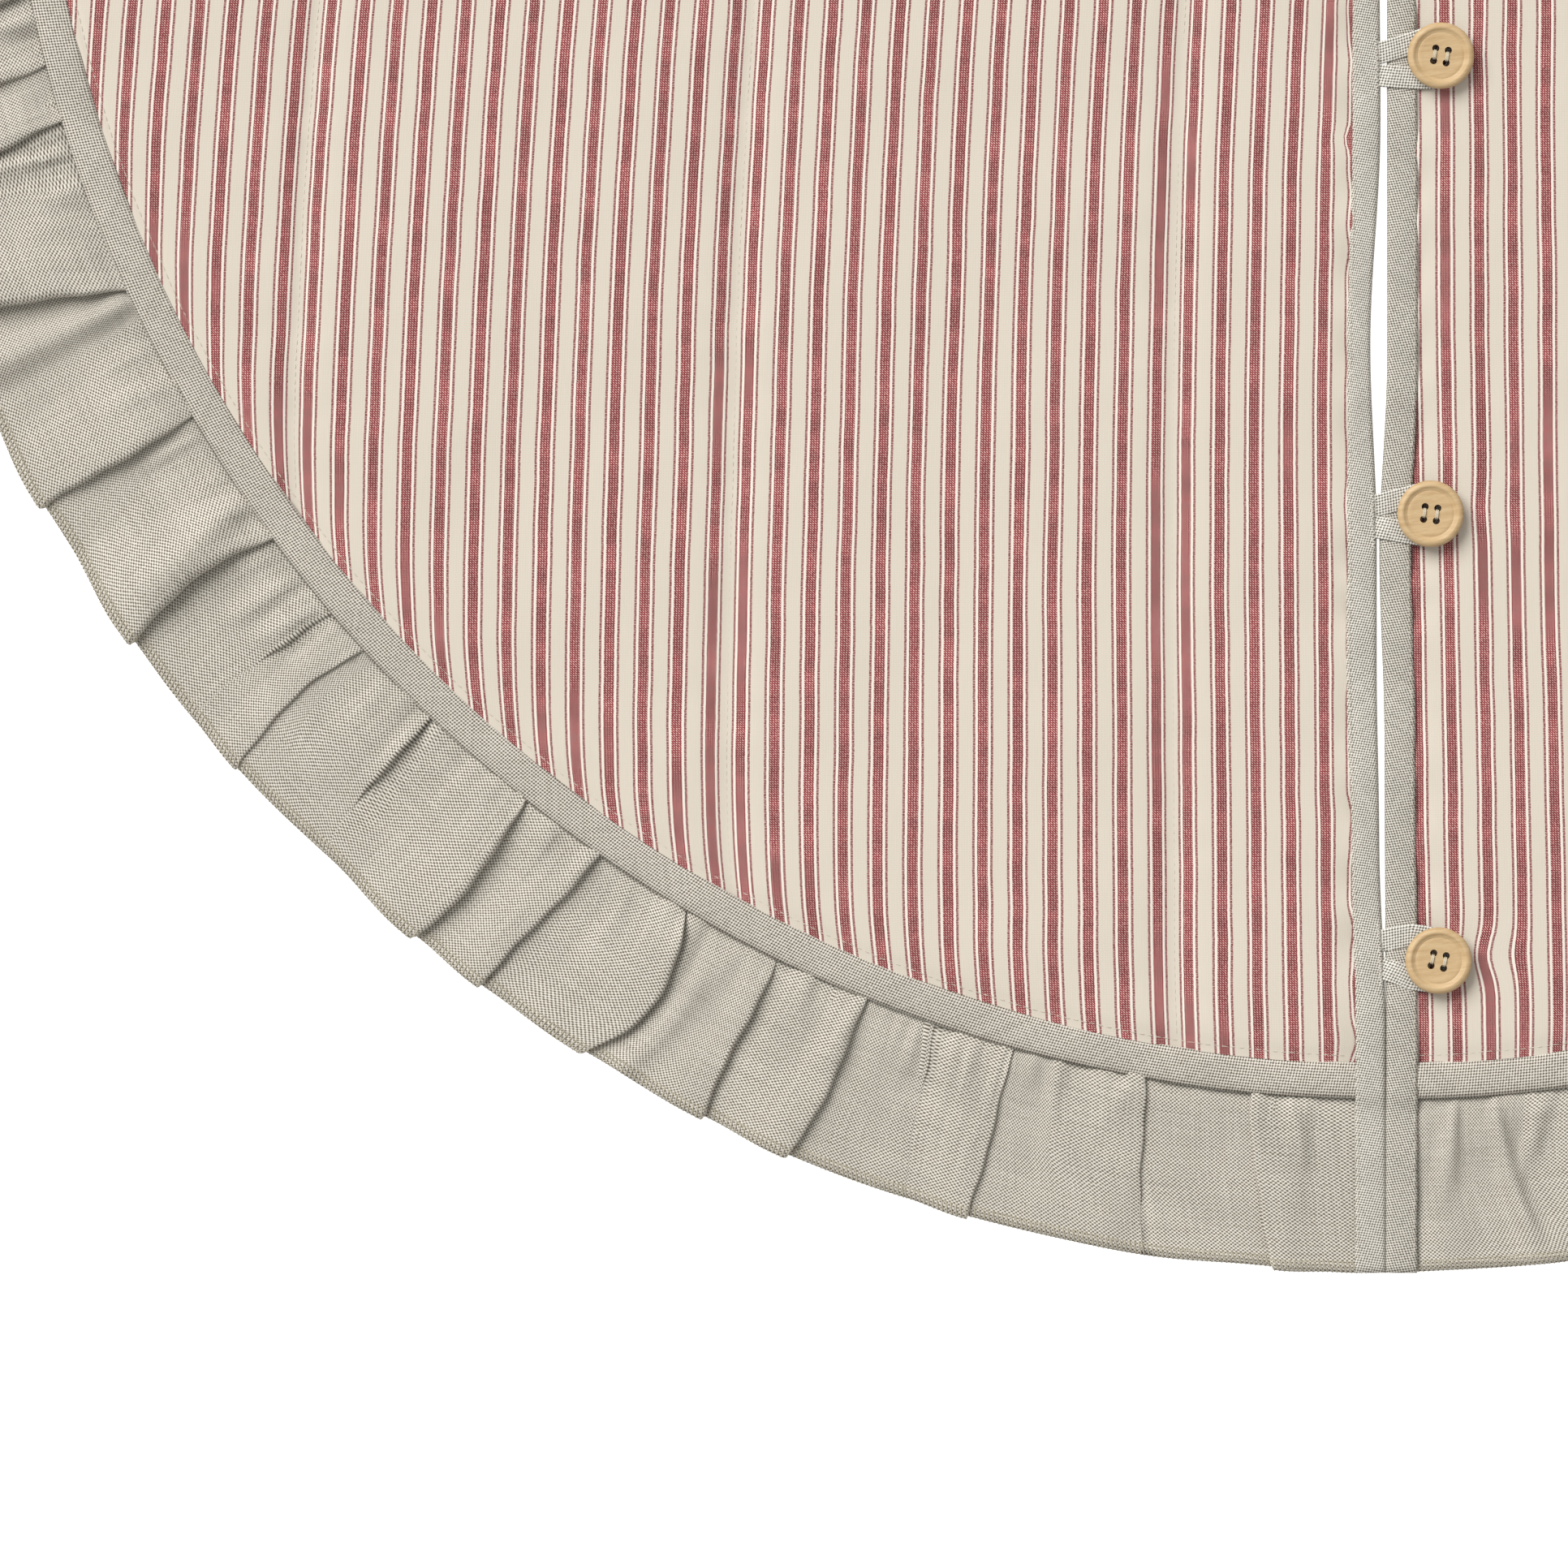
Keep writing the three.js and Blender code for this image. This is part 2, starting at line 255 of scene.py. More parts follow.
def tickingLook():
    t = ticking
    look = Look("striped_ticking", Roughness=0.92)
    u, v = look.cloth()
    wander = look.noise(look.vector(u * 0.05, v * 0.9), 1.0, 2.0)
    u = u + (wander - 0.5) * 0.35
    round0 = look.math("ROUND", u / t["repeat"])
    d = look.math("ABSOLUTE", u - round0 * t["repeat"])
    isRed = look.step(d, t["redHalf"] - 0.14, t["redHalf"] + 0.14, 1.0, 0.0)
    pastWhite = look.step(d, t["whiteTo"] - 0.14, t["whiteTo"] + 0.14)
    isPin = pastWhite * look.step(d, t["pinTo"] - 0.14, t["pinTo"] + 0.14, 1.0, 0.0)
    isCream = look.step(d, t["pinTo"] - 0.1, t["pinTo"] + 0.2)
    a = u * (2 * math.pi / t["acrossThread"])
    b = v * (2 * math.pi / t["alongThread"])
    twill = look.cosine(a) * 0.6 + look.cosine(b) * 0.45 + look.cosine(a + b) * 1.15
    # each red stripe is woven from threads of uneven dye, so it goes light and dark along its length
    dye = look.noise(look.vector(round0 * 7.3, v * 0.075), 1.0, 3.0, 0.65)
    streak = look.noise(look.vector(u * 2.2, v * 0.12), 1.0, 2.0, 0.6)
    speck = look.noise(look.vector(u * 1.1, v * 1.3), 1.0, 1.0)
    weave = twill + (speck - 0.5) * 3.0
    red = look.mix(look.step(weave, -0.9, 0.5), t["deepRed"], t["red"])
    red = look.mix(look.step(weave, 0.25, 1.7), red, t["paleRed"])
    tone = look.step(dye + (streak - 0.5) * 0.5, 0.3, 0.72, 0.72, 1.12)
    red = look.mix(1.0, red, look.vector(tone, tone, tone), "MULTIPLY")
    bead = look.cosine(b * 1.5 + round0 * 1.7) + (speck - 0.5) * 2.0
    pin = look.mix(look.step(bead, 0.1, 1.2), t["pin"], t["paleRed"])
    creamTone = 1 + (look.cosine(a) * 0.014 + (streak - 0.5) * 0.07 + look.cosine(b) * 0.008)
    cream = look.mix(1.0, t["cream"], look.vector(creamTone, creamTone, creamTone), "MULTIPLY")
    colour = look.mix(isCream, t["white"], cream)
    colour = look.mix(isPin, colour, pin)
    colour = look.mix(isRed, colour, red)
    height = twill * 0.25 + (streak - 0.5) * 0.6
    return look.finish(colour, height, 0.35, 0.00012)


linen = dict(alongThread=0.85, acrossThread=0.72, light=shade(241, 235, 222), dark=shade(106, 95, 78))


def linenLook(name, turn=0.0, fine=1.0, light=linen["light"], dark=linen["dark"]):
    look = Look(name, Roughness=0.95)
    u, v = look.cloth()
    u, v = u * fine, v * fine
    c, s = math.cos(math.radians(turn)), math.sin(math.radians(turn))
    u, v = u * c - v * s, u * s + v * c
    # each yarn has its own thickness and wanders a little
    yarnsU = look.noise(look.vector(u * 0.03, v / linen["acrossThread"] * 1.3), 1.0, 2.0, 0.6)
    yarnsV = look.noise(look.vector(u / linen["alongThread"] * 1.3, v * 0.03), 1.0, 2.0, 0.6)
    drift = look.noise(look.vector(u, v), 0.05, 1.0)
    a = (u + drift * 0.8) * (math.pi / linen["alongThread"])
    b = (v + drift * 0.8) * (math.pi / linen["acrossThread"])
    dots = look.cosine(a) * look.cosine(b)
    speck = look.noise(look.vector(u, v), 1.3, 1.0)
    weave = dots * 1.35 + (speck - 0.5) * 1.5 + (yarnsU - 0.5) * 0.9 + (yarnsV - 0.5) * 0.7
    colour = look.mix(look.step(weave, -1.15, 0.95), dark, light)
    broad = look.noise(look.vector(u * 0.5, v), 0.05, 3.0)
    tone = look.step(broad, 0.3, 0.7, 0.955, 1.035)
    colour = look.mix(1.0, colour, look.vector(tone, tone, tone), "MULTIPLY")
    return look.finish(colour, dots * 0.6 + yarnsU + yarnsV, 0.4, 0.0002)


def plainCottonLook(name, shadeOf, pitch=0.8):
    look = Look(name, Roughness=0.95)
    u, v = look.cloth()
    a, b = u * (2 * math.pi / pitch), v * (2 * math.pi / pitch)
    weave = look.cosine(a) * look.cosine(b)
    slub = look.noise(look.vector(u * 0.06, v * 1.3), 1.0, 2.0, 0.6)
    tone = 1 + weave * 0.05 + (slub - 0.5) * 0.12
    colour = look.mix(1.0, shadeOf, look.vector(tone, tone, tone), "MULTIPLY")
    return look.finish(colour, weave + slub, 0.3, 0.00012)


def battingLook():
    look = Look("cotton_batting", Roughness=1.0)
    u, v = look.cloth()
    fluff = look.noise(look.vector(u, v), 0.5, 5.0, 0.7)
    tone = look.step(fluff, 0.3, 0.7, 0.88, 1.03)
    colour = look.mix(1.0, shade(246, 243, 236), look.vector(tone, tone, tone), "MULTIPLY")
    return look.finish(colour, fluff, 0.8, 0.0006)


def threadLook(name, light, dark):
    # u runs along the thread, so slanting bands read as its twist
    look = Look(name, Roughness=0.75)
    u, v = look.cloth()
    ply = look.cosine((u * 1.6 + v * 2.2) * (2 * math.pi))
    fuzz = look.noise(look.vector(u, v), 2.5, 2.0)
    colour = look.mix(look.step(ply + (fuzz - 0.5) * 1.5, -1.0, 0.8), dark, light)
    return look.finish(colour, ply, 0.4, 0.00008)


def woodLook(name, light, dark):
    look = Look(name, Roughness=0.5)
    u, v = look.cloth()
    c, s = math.cos(0.12), math.sin(0.12)
    along, across = u * c + v * s, v * c - u * s
    rings = look.noise(look.vector(along * 0.05, across * 0.55), 1.0, 4.0, 0.6)
    fine = look.noise(look.vector(along * 0.35, across * 5.0), 1.0, 3.0, 0.7)
    pits = look.noise(look.vector(along * 1.2, across * 4.0), 1.0, 2.0, 0.8)
    colour = look.mix(look.step(rings * 0.6 + fine * 0.4, 0.36, 0.62), dark, light)
    colour = look.mix(look.step(pits, 0.66, 0.8, 0.0, 0.5), colour, shade(150, 108, 64))
    look.tree.links.new(look.step(fine, 0.3, 0.7, 0.42, 0.6).socket, look.shader.inputs["Roughness"])
    return look.finish(colour, fine - pits * 0.6, 0.25, 0.0001)


looks = dict(
    ticking=tickingLook(),
    ruffle=linenLook("linen_ruffle"),
    band=linenLook("linen_band", turn=40, light=shade(241, 234, 221), dark=shade(98, 88, 72)),
    leftBinding=linenLook(
        "linen_left_binding", turn=32, fine=1.12, light=shade(246, 241, 230), dark=shade(106, 98, 82),
    ),
    # the right binding is the same linen as the left, in darker colours: painted shade
    rightBinding=linenLook(
        "linen_right_binding_painted_shade", turn=32, fine=1.12, light=shade(238, 232, 220), dark=shade(90, 82, 66),
    ),
    loop=linenLook("linen_loop", turn=40, light=shade(250, 246, 236), dark=shade(104, 96, 80)),
    lining=plainCottonLook("cotton_lining", shade(226, 216, 198)),
    batting=battingLook(),
    thread=threadLook("cream_thread", shade(243, 236, 220), shade(196, 186, 164)),
    tackThread=threadLook("tack_thread", shade(252, 249, 242), shade(222, 214, 198)),
    buttonThread=threadLook("button_thread", shade(240, 229, 204), shade(212, 196, 164)),
    hemThread=threadLook("hem_thread", shade(222, 214, 194), shade(160, 150, 126)),
    quiltThread=threadLook("quilting_thread", shade(230, 220, 203), shade(204, 192, 170)),
    wood=woodLook("pale_wood", shade(221, 190, 143), shade(201, 167, 118)),
    # the drilled holes' walls are painted dark brown: painted shade for the shadow down inside the holes
    paintedShadeWood=woodLook("hole_walls_painted_shade", shade(92, 62, 38), shade(52, 34, 22)),
)
print("looks made")


# ---- stripes and quilting of the top

stripes = dict(
    anchor=38.55, perMm=1 / 12.9, lean=(1.4, -2.4, 1), leanAcross=-2.1, spread=0.4,
    nudge=0.05, nudgeAt=(-330, -300), nudgeSize=130,
    scallops=((-119, 15, 0.42), (-165, 4, 0.3)),  # where, how long, how deep
    rightAnchor=39.2, rightPerMm=1 / 13, rightLean=-0.4,
    bandPull=0.28, bandReach=14,
    quiltEvery=13, quiltAt=19.55, pinch=0.085,
)


def stripeNumber(x, y):
    # which stripe a place on the top is in; the cloth wanders, and is pinched at each quilting line
    down = (-y - 117) / 400
    s = np.clip(down, 0, 1.05)
    slow = 0.3 * np.tanh(np.minimum(down, 0) / 0.3)  # behind the slit's start the lean dies away
    u = x / 500
    k = stripes
    lean = k["lean"][0] * (s + slow) + k["lean"][1] * s**2 + k["lean"][2] * s**3
    lean = lean + (k["leanAcross"] * u - 0.6 * u * u) * (s + slow)
    (nudgeX, nudgeY), size = k["nudgeAt"], k["nudgeSize"]
    lean = lean - k["nudge"] * np.exp(-(((x - nudgeX) / size) ** 2 + ((y - nudgeY) / size) ** 2))
    left = k["anchor"] + k["perMm"] * x + lean + k["spread"] * u * u
    meet = smoothStep(-110, 75, y) * (k["anchor"] + k["lean"][0] * slow - k["rightAnchor"])
    right = k["rightAnchor"] + k["rightPerMm"] * x + k["rightLean"] * s * s + meet
    number = np.where(x < 0, left, right)
    radius = np.hypot(x, y)
    inFront = smoothStep(0, -120, y)
    toBand = np.maximum(skirt["panelRadius"] - radius, 0)
    oblique = np.clip(-x * -y / np.maximum(radius, 1) ** 2 * 2, -1, 1)
    number = number - k["bandPull"] * np.exp(-toBand / k["bandReach"]) * oblique * inFront
    for (bx, by), pull in zip(buttons["at"], buttons["pull"]):
        near = np.exp(-(((x - bx - 20) / 12) ** 2 + ((y - by - 2) / 9) ** 2))
        number = number + pull * near
    number = number + 0.022 * softNoise(x, y * 0.6, 34, 5) + 0.012 * softNoise(x, y, 15, 6)
    # beside the left binding the cloth is gathered into small scallops
    beside = np.exp(-np.clip(-13 - x, 0, None) / 3.5) * (x < 0) * inFront
    bulge = sum(deep * np.exp(-(((y - at) / long) ** 2)) for at, long, deep in k["scallops"])
    number = number + beside * (0.1 + 0.14 * softNoise(0 * x, y, 11, 7) + bulge)
    return number


def quiltPhase(number):
    # stripes away from the nearest quilting line
    k = stripes
    away = (number - k["quiltAt"] + k["quiltEvery"] / 2) % k["quiltEvery"] - k["quiltEvery"] / 2
    return away


def pinched(number):
    away = quiltPhase(number)
    return number + stripes["pinch"] * (np.tanh(away / 0.4) - away / (stripes["quiltEvery"] / 2))


buttons = dict(
    at=[(22.0, -132.6), (18.0, -311.3), (21.1, -485.6)], turn=(-10, -7, -12), pull=(0.03, 0.05, 0.24),
    radius=13, base=8.1, thick=4, rim=3.6, dish=0.95, hole=1.15, spacing=4.95,
)


def topHeight(x, y):
    # how far the top stands above its lowest layer: padded between quilting lines, puckered beside them
    number = stripeNumber(x, y)
    away = np.abs(quiltPhase(number)) * 13
    sink = np.exp(-(away / 5.5) ** 2)
    height = 1.5 - 1.7 * sink + 0.35 * np.sin(np.clip(away / 80, 0, 1) * math.pi)
    height = height + 0.34 * np.exp(-away / 13) * softNoise(x * 0.35, y, 8.5, 11)
    height = height + 0.42 * softNoise(x, y * 1.6, 62, 12)
    height = height + 0.30 * softNoise(x, y, 27, 13) + 0.07 * softNoise(x, y, 9, 14)
    edge = np.abs(x) - 13
    alongSlit = np.exp(-np.clip(edge, 0, None) / 5) * (y < 0)
    height = height - alongSlit * (1.1 + 0.75 * np.sin(y / 5.2 + 2.5 * softNoise(0 * x, y, 40, 15)))
    toBand = np.clip(skirt["panelRadius"] - np.hypot(x, y), 0, None)
    height = height - 1.2 * np.exp(-toBand / 4.5) - 0.35 * np.exp(-((toBand - 2.5) / 1.2) ** 2)
    for bx, by in buttons["at"]:
        height = height - 0.5 * np.exp(-(((x - bx) / 16) ** 2 + ((y - by) / 12) ** 2))
    return height


def topZ(x, y):
    return skirt["topZ"] - 0.6 + topHeight(x, y)


def halfGrid(side, rows, columns, outer, inner, tuck):
    # two grids, front and back of the X axis, that end at the outer circle, the trunk hole and the slit
    sign = sides[side]
    flat = -outer * np.cos(np.linspace(0.02, math.pi / 2, columns))[:, None]
    reach = np.sqrt(np.maximum(outer**2 - flat**2, 0))
    start = np.sqrt(np.maximum(inner**2 - flat**2, 0))
    t = np.linspace(0, 1, rows)[None, :]
    grids = []
    for facing in (-1, 1):
        y = facing * (start + (reach - start) * t)
        edge = sign * slitEdge(side, y)[0] + tuck if facing < 0 else 0
        x = flat - edge * smoothStep(-inner, 0, flat)
        grids.append((-sign * (x + 0 * y), y))
    return grids


def makeTops():
    for side in sides:
        points, faces, cloth, first = [], [], [], 0
        for x, y in halfGrid(side, 176, 232, skirt["panelRadius"] + 0.6, 78, 2):
            z = topZ(x, y)
            number = pinched(stripeNumber(x, y))
            points.append(np.stack([x, y, z], 2).reshape(-1, 3))
            cloth.append(np.stack([number * ticking["repeat"], y], 2).reshape(-1, 2))
            faces.append(gridFaces(*x.shape, first=first))
            first += x.size
        piece = makePiece(
            f"ticking_top_{side}_cloth", np.concatenate(points), np.concatenate(faces), np.concatenate(cloth),
            looks["ticking"], weld=0.01)
        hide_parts("ticking_top_back", f"ticking_top_{side}")
        rideHalf(piece)
    print("striped top laid")


# outer and inner radius, how far it stops short of the slit, and whether it is the lining
layers = (("lining", 538, 88.5, 10, True), ("batting", 523, 79, 3, False))


def makeLinings():
    for side in sides:
        for name, outer, inner, tuck, held in layers:
            points, faces, cloth, first = [], [], [], 0
            for x, y in halfGrid(side, 90, 120, outer, inner, tuck):
                if held:
                    low, high = 0.15 + 0 * x, 0.6 + 0.08 * softNoise(x, y, 30, 21)
                else:
                    sunk = 0.8 * np.exp(-(quiltPhase(stripeNumber(x, y)) / 0.55) ** 2)
                    low, high = 0.8 + 0 * x, np.maximum(topZ(x, y) - 0.6 - sunk, 1.1)
                middle = np.stack([x, y, (low + high) / 2], 2)
                skin, quads, coords = shell(middle, np.stack([x, y], 2), high - low)
                points.append(skin)
                faces.append(quads + first)
                cloth.append(coords)
                first += len(skin)
            piece = makePiece(
                f"{name}_{side}_" + ("cloth" if held else "pad"),
                np.concatenate(points), np.concatenate(faces), np.concatenate(cloth), looks[name])
            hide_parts(f"{name}_back", f"{name}_{side}")
            rideHalf(piece)
    print("lining and batting laid")


# ---- band and ruffle, worked along the circle: angles in degrees, 270 at the slit

edges = dict(left=(90, 270), right=(270, 450))


def around(radius, degrees, z):
    angle = np.radians(degrees)
    return np.stack([radius * np.cos(angle), radius * np.sin(angle), z + 0 * angle], -1)


band = dict(thickness=0.6, z=4.0, crown=0.7, columns=11)


def makeBands():
    for side, (start, end) in edges.items():
        inset = math.degrees(3.2 / skirt["panelRadius"])
        low, high = (start, end - inset) if side == "left" else (start + inset, end)
        degrees = np.linspace(low, high, 560)[:, None]
        t = np.linspace(0, 1, band["columns"])[None, :]
        arc = np.radians(degrees) * skirt["bandRadius"]
        width = skirt["bandRadius"] + 0.5 - skirt["panelRadius"]
        radius = skirt["panelRadius"] + 0.2 + (width + 0.35 * softNoise(arc, 0 * arc, 45, 31)) * t
        z = band["z"] + band["crown"] * (1 - np.abs(2 * t - 1) ** 3)
        z = z + 0.16 * softNoise(arc, t * 12, 14, 32) + 0.2 * softNoise(arc, t * 8, 50, 33)
        z = z - 0.9 * t**8 - 0.5 * (1 - t) ** 12  # both edges turn down to their seams
        grid = around(radius + 0 * degrees, degrees + 0 * radius, z)
        skin, quads, coords = shell(grid, np.stack([arc + 0 * t, radius + 0 * degrees], 2), band["thickness"])
        piece = makePiece(f"band_{side}_strip", skin, quads, coords, looks["band"])
        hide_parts("band_back", f"band_{side}")
        rideHalf(piece)
    print("band sewn on")


ruffle = dict(
    thickness=0.5, stations=24, inner=537.2, layer=0.75, atBand=1.9, atHem=0.55,
    full=0.78, step=2.4, hemWidth=4.4,
    # angle at the band, half way and at the hem; how far out it reaches; way its edge faces; depth; height
    pleats=dict(
        left=[
            (191.5, 192, 192, 2, 1, 10, 7), (194.5, 195, 195, 2, 1, 6, 4),
            (197, 197.5, 198, 2, 1, 8, 5), (204.5, 203.5, 202.5, 2, 1, 11, 8),
            (210.5, 210.5, 210.5, 2, 1, 11, 6), (216.5, 216, 216.5, 2, 1, 11, 8),
            (220.5, 220, 220, 0.6, 1, 3, 4), (222.5, 222, 222.5, 2, 1, 5, 2),
            (226.5, 226.5, 227, 0.75, 1, 5, 4), (231.5, 232, 231.5, 2, 1, 12, 6.5),
            (235.5, 235, 234.5, 2, 1, 11, 4.5), (239.5, 240.5, 239, 2, 1, 12, 5.5),
            (244, 244, 244, 2, 1, 12, 5.5), (248, 248, 247.5, 2, 1, 12, 6),
            (251, 251.5, 252, 0.5, 1, 3, 3), (254.5, 254.5, 254.5, 2, 1, 12, 4),
            (260, 260.5, 261, 0.8, 1, 4, 3), (264.5, 265, 266, 2, -1, 9, 4),
        ],
        right=[],
    ),
    # soft ridges: angle at the band, half way and at the hem; how far out it reaches; half width; height
    ridges=[
        (198.5, 198, 198, 1, 4, 2), (205, 205, 205, 2, 7, 4.5), (214.5, 215, 215.5, 0.9, 6, 2.5),
        (218.5, 218, 217.5, 0.6, 4, 2.5), (241.5, 241.5, 240.5, 2, 5, 2.5), (266, 267, 267.5, 0.5, 3.5, 2),
        (273, 272.5, 272, 0.7, 4, 3), (274.5, 275, 276, 1, 3.5, 4), (277, 275.5, 275, 0.6, 3.5, 3),
    ],
)


def standing(angle):
    # the pleats stand tallest on the left and lie flatter towards the slit
    return 1.3 - 0.55 * float(smoothStep(214, 262, angle))


def bent(a, b, c, t):
    # a curve through a at the band, b half way and c at the hem
    return a * (1 - t) * (1 - 2 * t) + b * 4 * t * (1 - t) + c * t * (2 * t - 1)


def allPleats(side):
    # the rest of the way round is pleated in the same manner
    draw = np.random.default_rng(41 if side == "left" else 42)
    made, angle = [], 93.5 if side == "left" else 280.5
    while angle < (189.0 if side == "left" else 446.5):
        soft = draw.random() < 0.3
        depth = draw.uniform(4, 7) if soft else draw.uniform(9.5, 12)
        height = draw.uniform(2.5, 4) if soft else draw.uniform(4, 8)
        facing = -1 if draw.random() < 0.08 else 1
        reach = draw.uniform(0.3, 0.9) if soft else 2
        if abs(angle - 180) > 2.2 and abs(angle - 360) > 2.2:
            halfWay, atHem = angle + draw.uniform(-0.6, 0.6), angle + draw.uniform(-1, 1)
            made.append((angle, halfWay, atHem, reach, facing, depth, height))
        angle += draw.uniform(2.3, 3.3) if soft else draw.uniform(3.5, 4.6)
    handSet = [(*row[:6], row[6] * standing(row[0])) for row in ruffle["pleats"][side]]
    return sorted(made + handSet)


def allRidges(side):
    draw = np.random.default_rng(43 if side == "left" else 44)
    low, high = edges[side]
    made = [r for r in ruffle["ridges"] if low < r[0] < high]
    for angle in np.arange(low + 2, 263 if side == "left" else high - 2, 2.2):
        if side == "left" or angle > 279:
            a, b, c = angle + draw.uniform(-0.7, 0.7), draw.uniform(-0.6, 0.6), draw.uniform(-1, 1)
            reach, half, tall = draw.uniform(0.3, 0.6), draw.uniform(2.5, 4.5), draw.uniform(1.2, 2.4)
            made.append((a, a + b, a + c, reach, half, tall))
    return made


def pleatShape(depth, height, rise):
    # one fold that faces forward: offsets along the cloth's way, and heights
    layer = min(ruffle["layer"], height / 2)
    nose = (height - layer) / 2
    a = np.linspace(0, 1, 15)[:-1]
    climb = height * (0.35 * a + 0.65 * smoothStep(0, 0.85, a))
    over = np.stack([-(depth + rise) + a * (depth + rise - nose), climb], 1)
    turn = np.radians(np.linspace(90, -90, 8))
    fold = np.stack([np.cos(turn) * nose - nose, layer + nose + np.sin(turn) * nose], 1)
    under = np.stack([[-depth * 0.55], [layer]], 1)
    back = np.stack([-depth - np.cos(turn) * layer / 2, layer * 0.5 + np.sin(turn) * layer / 2], 1)
    return np.concatenate([over, fold, under, back])


def rufflePath(side, t):
    # the cloth's way round at one distance from the band to the hem: arc lengths, heights, how far each
    # lies over the floor as a share of a full fold, and how free it is to crease
    start, end = edges[side]
    k = ruffle
    radius = k["inner"] + (skirt["hemRadius"] - 1.5 - k["inner"]) * t
    perDegree = math.radians(1) * radius
    opened = float(smoothStep(0, 0.4, t) - (1 - k["atHem"]) * smoothStep(0.6, 1, t))
    pleats, gaps, last = [], [], start
    for n, (a, b, c, reach, facing, depth, height) in enumerate(allPleats(side)):
        gaps.append(a - last)
        last = a
        left = 1 - float(smoothStep(reach - 0.3, reach, t))
        wander = 0.5 * math.sin(n * 3.3 + t * 8) + 0.25 * math.sin(n * 1.7 + t * 23)
        high = k["atBand"] + (height * k["full"] - k["atBand"]) * opened
        place = bent(a, b, c, t) * perDegree + wander
        pleats.append((place, facing, 0.3 + depth * left, 0.06 + high * left, left))
    inset = 4.0
    low, high = start * perDegree, end * perDegree
    low, high = (low, high - inset) if side == "left" else (low + inset, high)
    path = [[[low, 0, 0, 0]]]
    previous = low + 0.5
    for n, (edge, facing, depth, height, left) in enumerate(pleats):
        # a fold lies over the cloth behind it, and rises all the way from the one before
        if facing > 0:
            other = pleats[n - 1] if n else (low, 1, 0, 0)
            room = edge - depth - other[0] - (other[2] if other[1] < 0 else 0)
        else:
            other = pleats[n + 1] if n + 1 < len(pleats) else (high, 1, 0, 0)
            room = other[0] - (other[2] if other[1] > 0 else 0) - edge - depth
        share = 0.45 if facing < 0 or other[1] < 0 else 0.8
        shape = pleatShape(depth, height, max(0.8, min(room * share, 32)))
        if facing < 0:
            shape = shape[::-1] * [-1, 1]
        # how free the cloth is to crease: not at all where it lies under a fold
        before = pleats[n - 1][0] if n and pleats[n - 1][1] > 0 else low - 9
        flat = np.linspace(previous, edge + shape[0, 0], 8 + int(5 * max(0, gaps[n] - 4)))[1:-1]
        if facing > 0:
            free = smoothStep(before - 1, before + 3, flat)
        else:
            free = smoothStep(edge - depth, edge - depth - 3, flat)
        ahead = pleats[n - 1][4] if n and facing > 0 else left
        path.append(np.stack([flat, 0 * flat, 0 * flat, 1 - (1 - free) * ahead], 1))
        s = edge + shape[:, 0]
        free = np.ones(len(s))
        free[-9 if facing > 0 else 0:None if facing > 0 else 9] = 0
        if facing > 0:
            free[:15] = smoothStep(before - 1, before + 3, s[:15])
        path.append(np.stack([s, shape[:, 1], shape[:, 1] / 4, 1 - (1 - free) * left], 1))
        previous = path[-1][-1, 0]
    flat = np.linspace(previous, high, 12)[1:]
    last = pleats[-1][0] if pleats[-1][1] > 0 else low
    path.append(np.stack([flat, 0 * flat, 0 * flat, smoothStep(last - 1, last + 3, flat)], 1))
    return radius, np.concatenate(path)


def makeRuffles():
    made = {}
    for side in edges:
        stations = np.linspace(0, 1, ruffle["stations"])
        ridges = allRidges(side)
        grid = []
        for t in stations:
            radius, path = rufflePath(side, t)
            s, z, over, free = path.T
            perDegree = math.radians(1) * radius
            even = s / radius * 575
            # the cloth swells up beside the band's seam, then falls away to the floor
            settle = 1.1 + 1.0 * smoothStep(0.02, 0.14, t) - 1.75 * smoothStep(0.14, 0.5, t)
            # gathers fan out from the band, then die away
            fan = 1.3 * softNoise(even, 0 * s + t * 14, 5.5, 51)
            fan = fan + 2.3 * softNoise(even, 0 * s + t * 9, 12, 54)
            pinch = 2.0 * np.exp(-(softNoise(even, 0 * s + t * 6, 10, 55) / 0.12) ** 2)
            crease = math.exp(-t / 0.28) * float(smoothStep(-0.01, 0.06, t)) * (fan - pinch)
            swell = (0.8 + 0.9 * t) * softNoise(even, 0 * s + t * 45, 21, 52)
            ridge = 0 * s
            for a, b, c, reach, wide, high in ridges:
                off = (s - bent(a, b, c, t) * perDegree) / (wide * (0.5 + min(t, 0.5)))
                fade = (1 - float(smoothStep(reach - 0.3, reach, t))) * float(smoothStep(0, 0.12, t))
                ridge = ridge + high * np.exp(-off**2) * fade
            height = settle + np.maximum(z + (crease + swell + ridge) * free, 0.12 * z)
            stepped = ruffle["step"] * (np.clip(over, 0, 1.2) - 0.45)
            outward = t**2 * (stepped + 0.9 * softNoise(even, 0 * s, 38, 53))
            grid.append(around(radius + outward, np.degrees(s / radius), np.maximum(height, 0.3)))
        grid = np.stack(grid, 1)
        along = 0.95 * np.concatenate([[0], np.cumsum(np.linalg.norm(np.diff(grid[:, -1], axis=0), axis=1))])
        across = stations * (skirt["hemRadius"] - ruffle["inner"])
        cloth = np.stack(np.broadcast_arrays(along[:, None], across[None, :]), 2)
        skin, quads, coords = shell(grid, cloth, ruffle["thickness"])
        piece = makePiece(f"ruffle_{side}_cloth", skin, quads, coords, looks["ruffle"])
        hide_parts("ruffle_back", f"ruffle_{side}")
        rideHalf(piece)
        across[-1] * mm
        made[side] = (grid, along)
        print(f"ruffle pleated, {side}: {along[-1]:.0f} mm of strip")
    return made


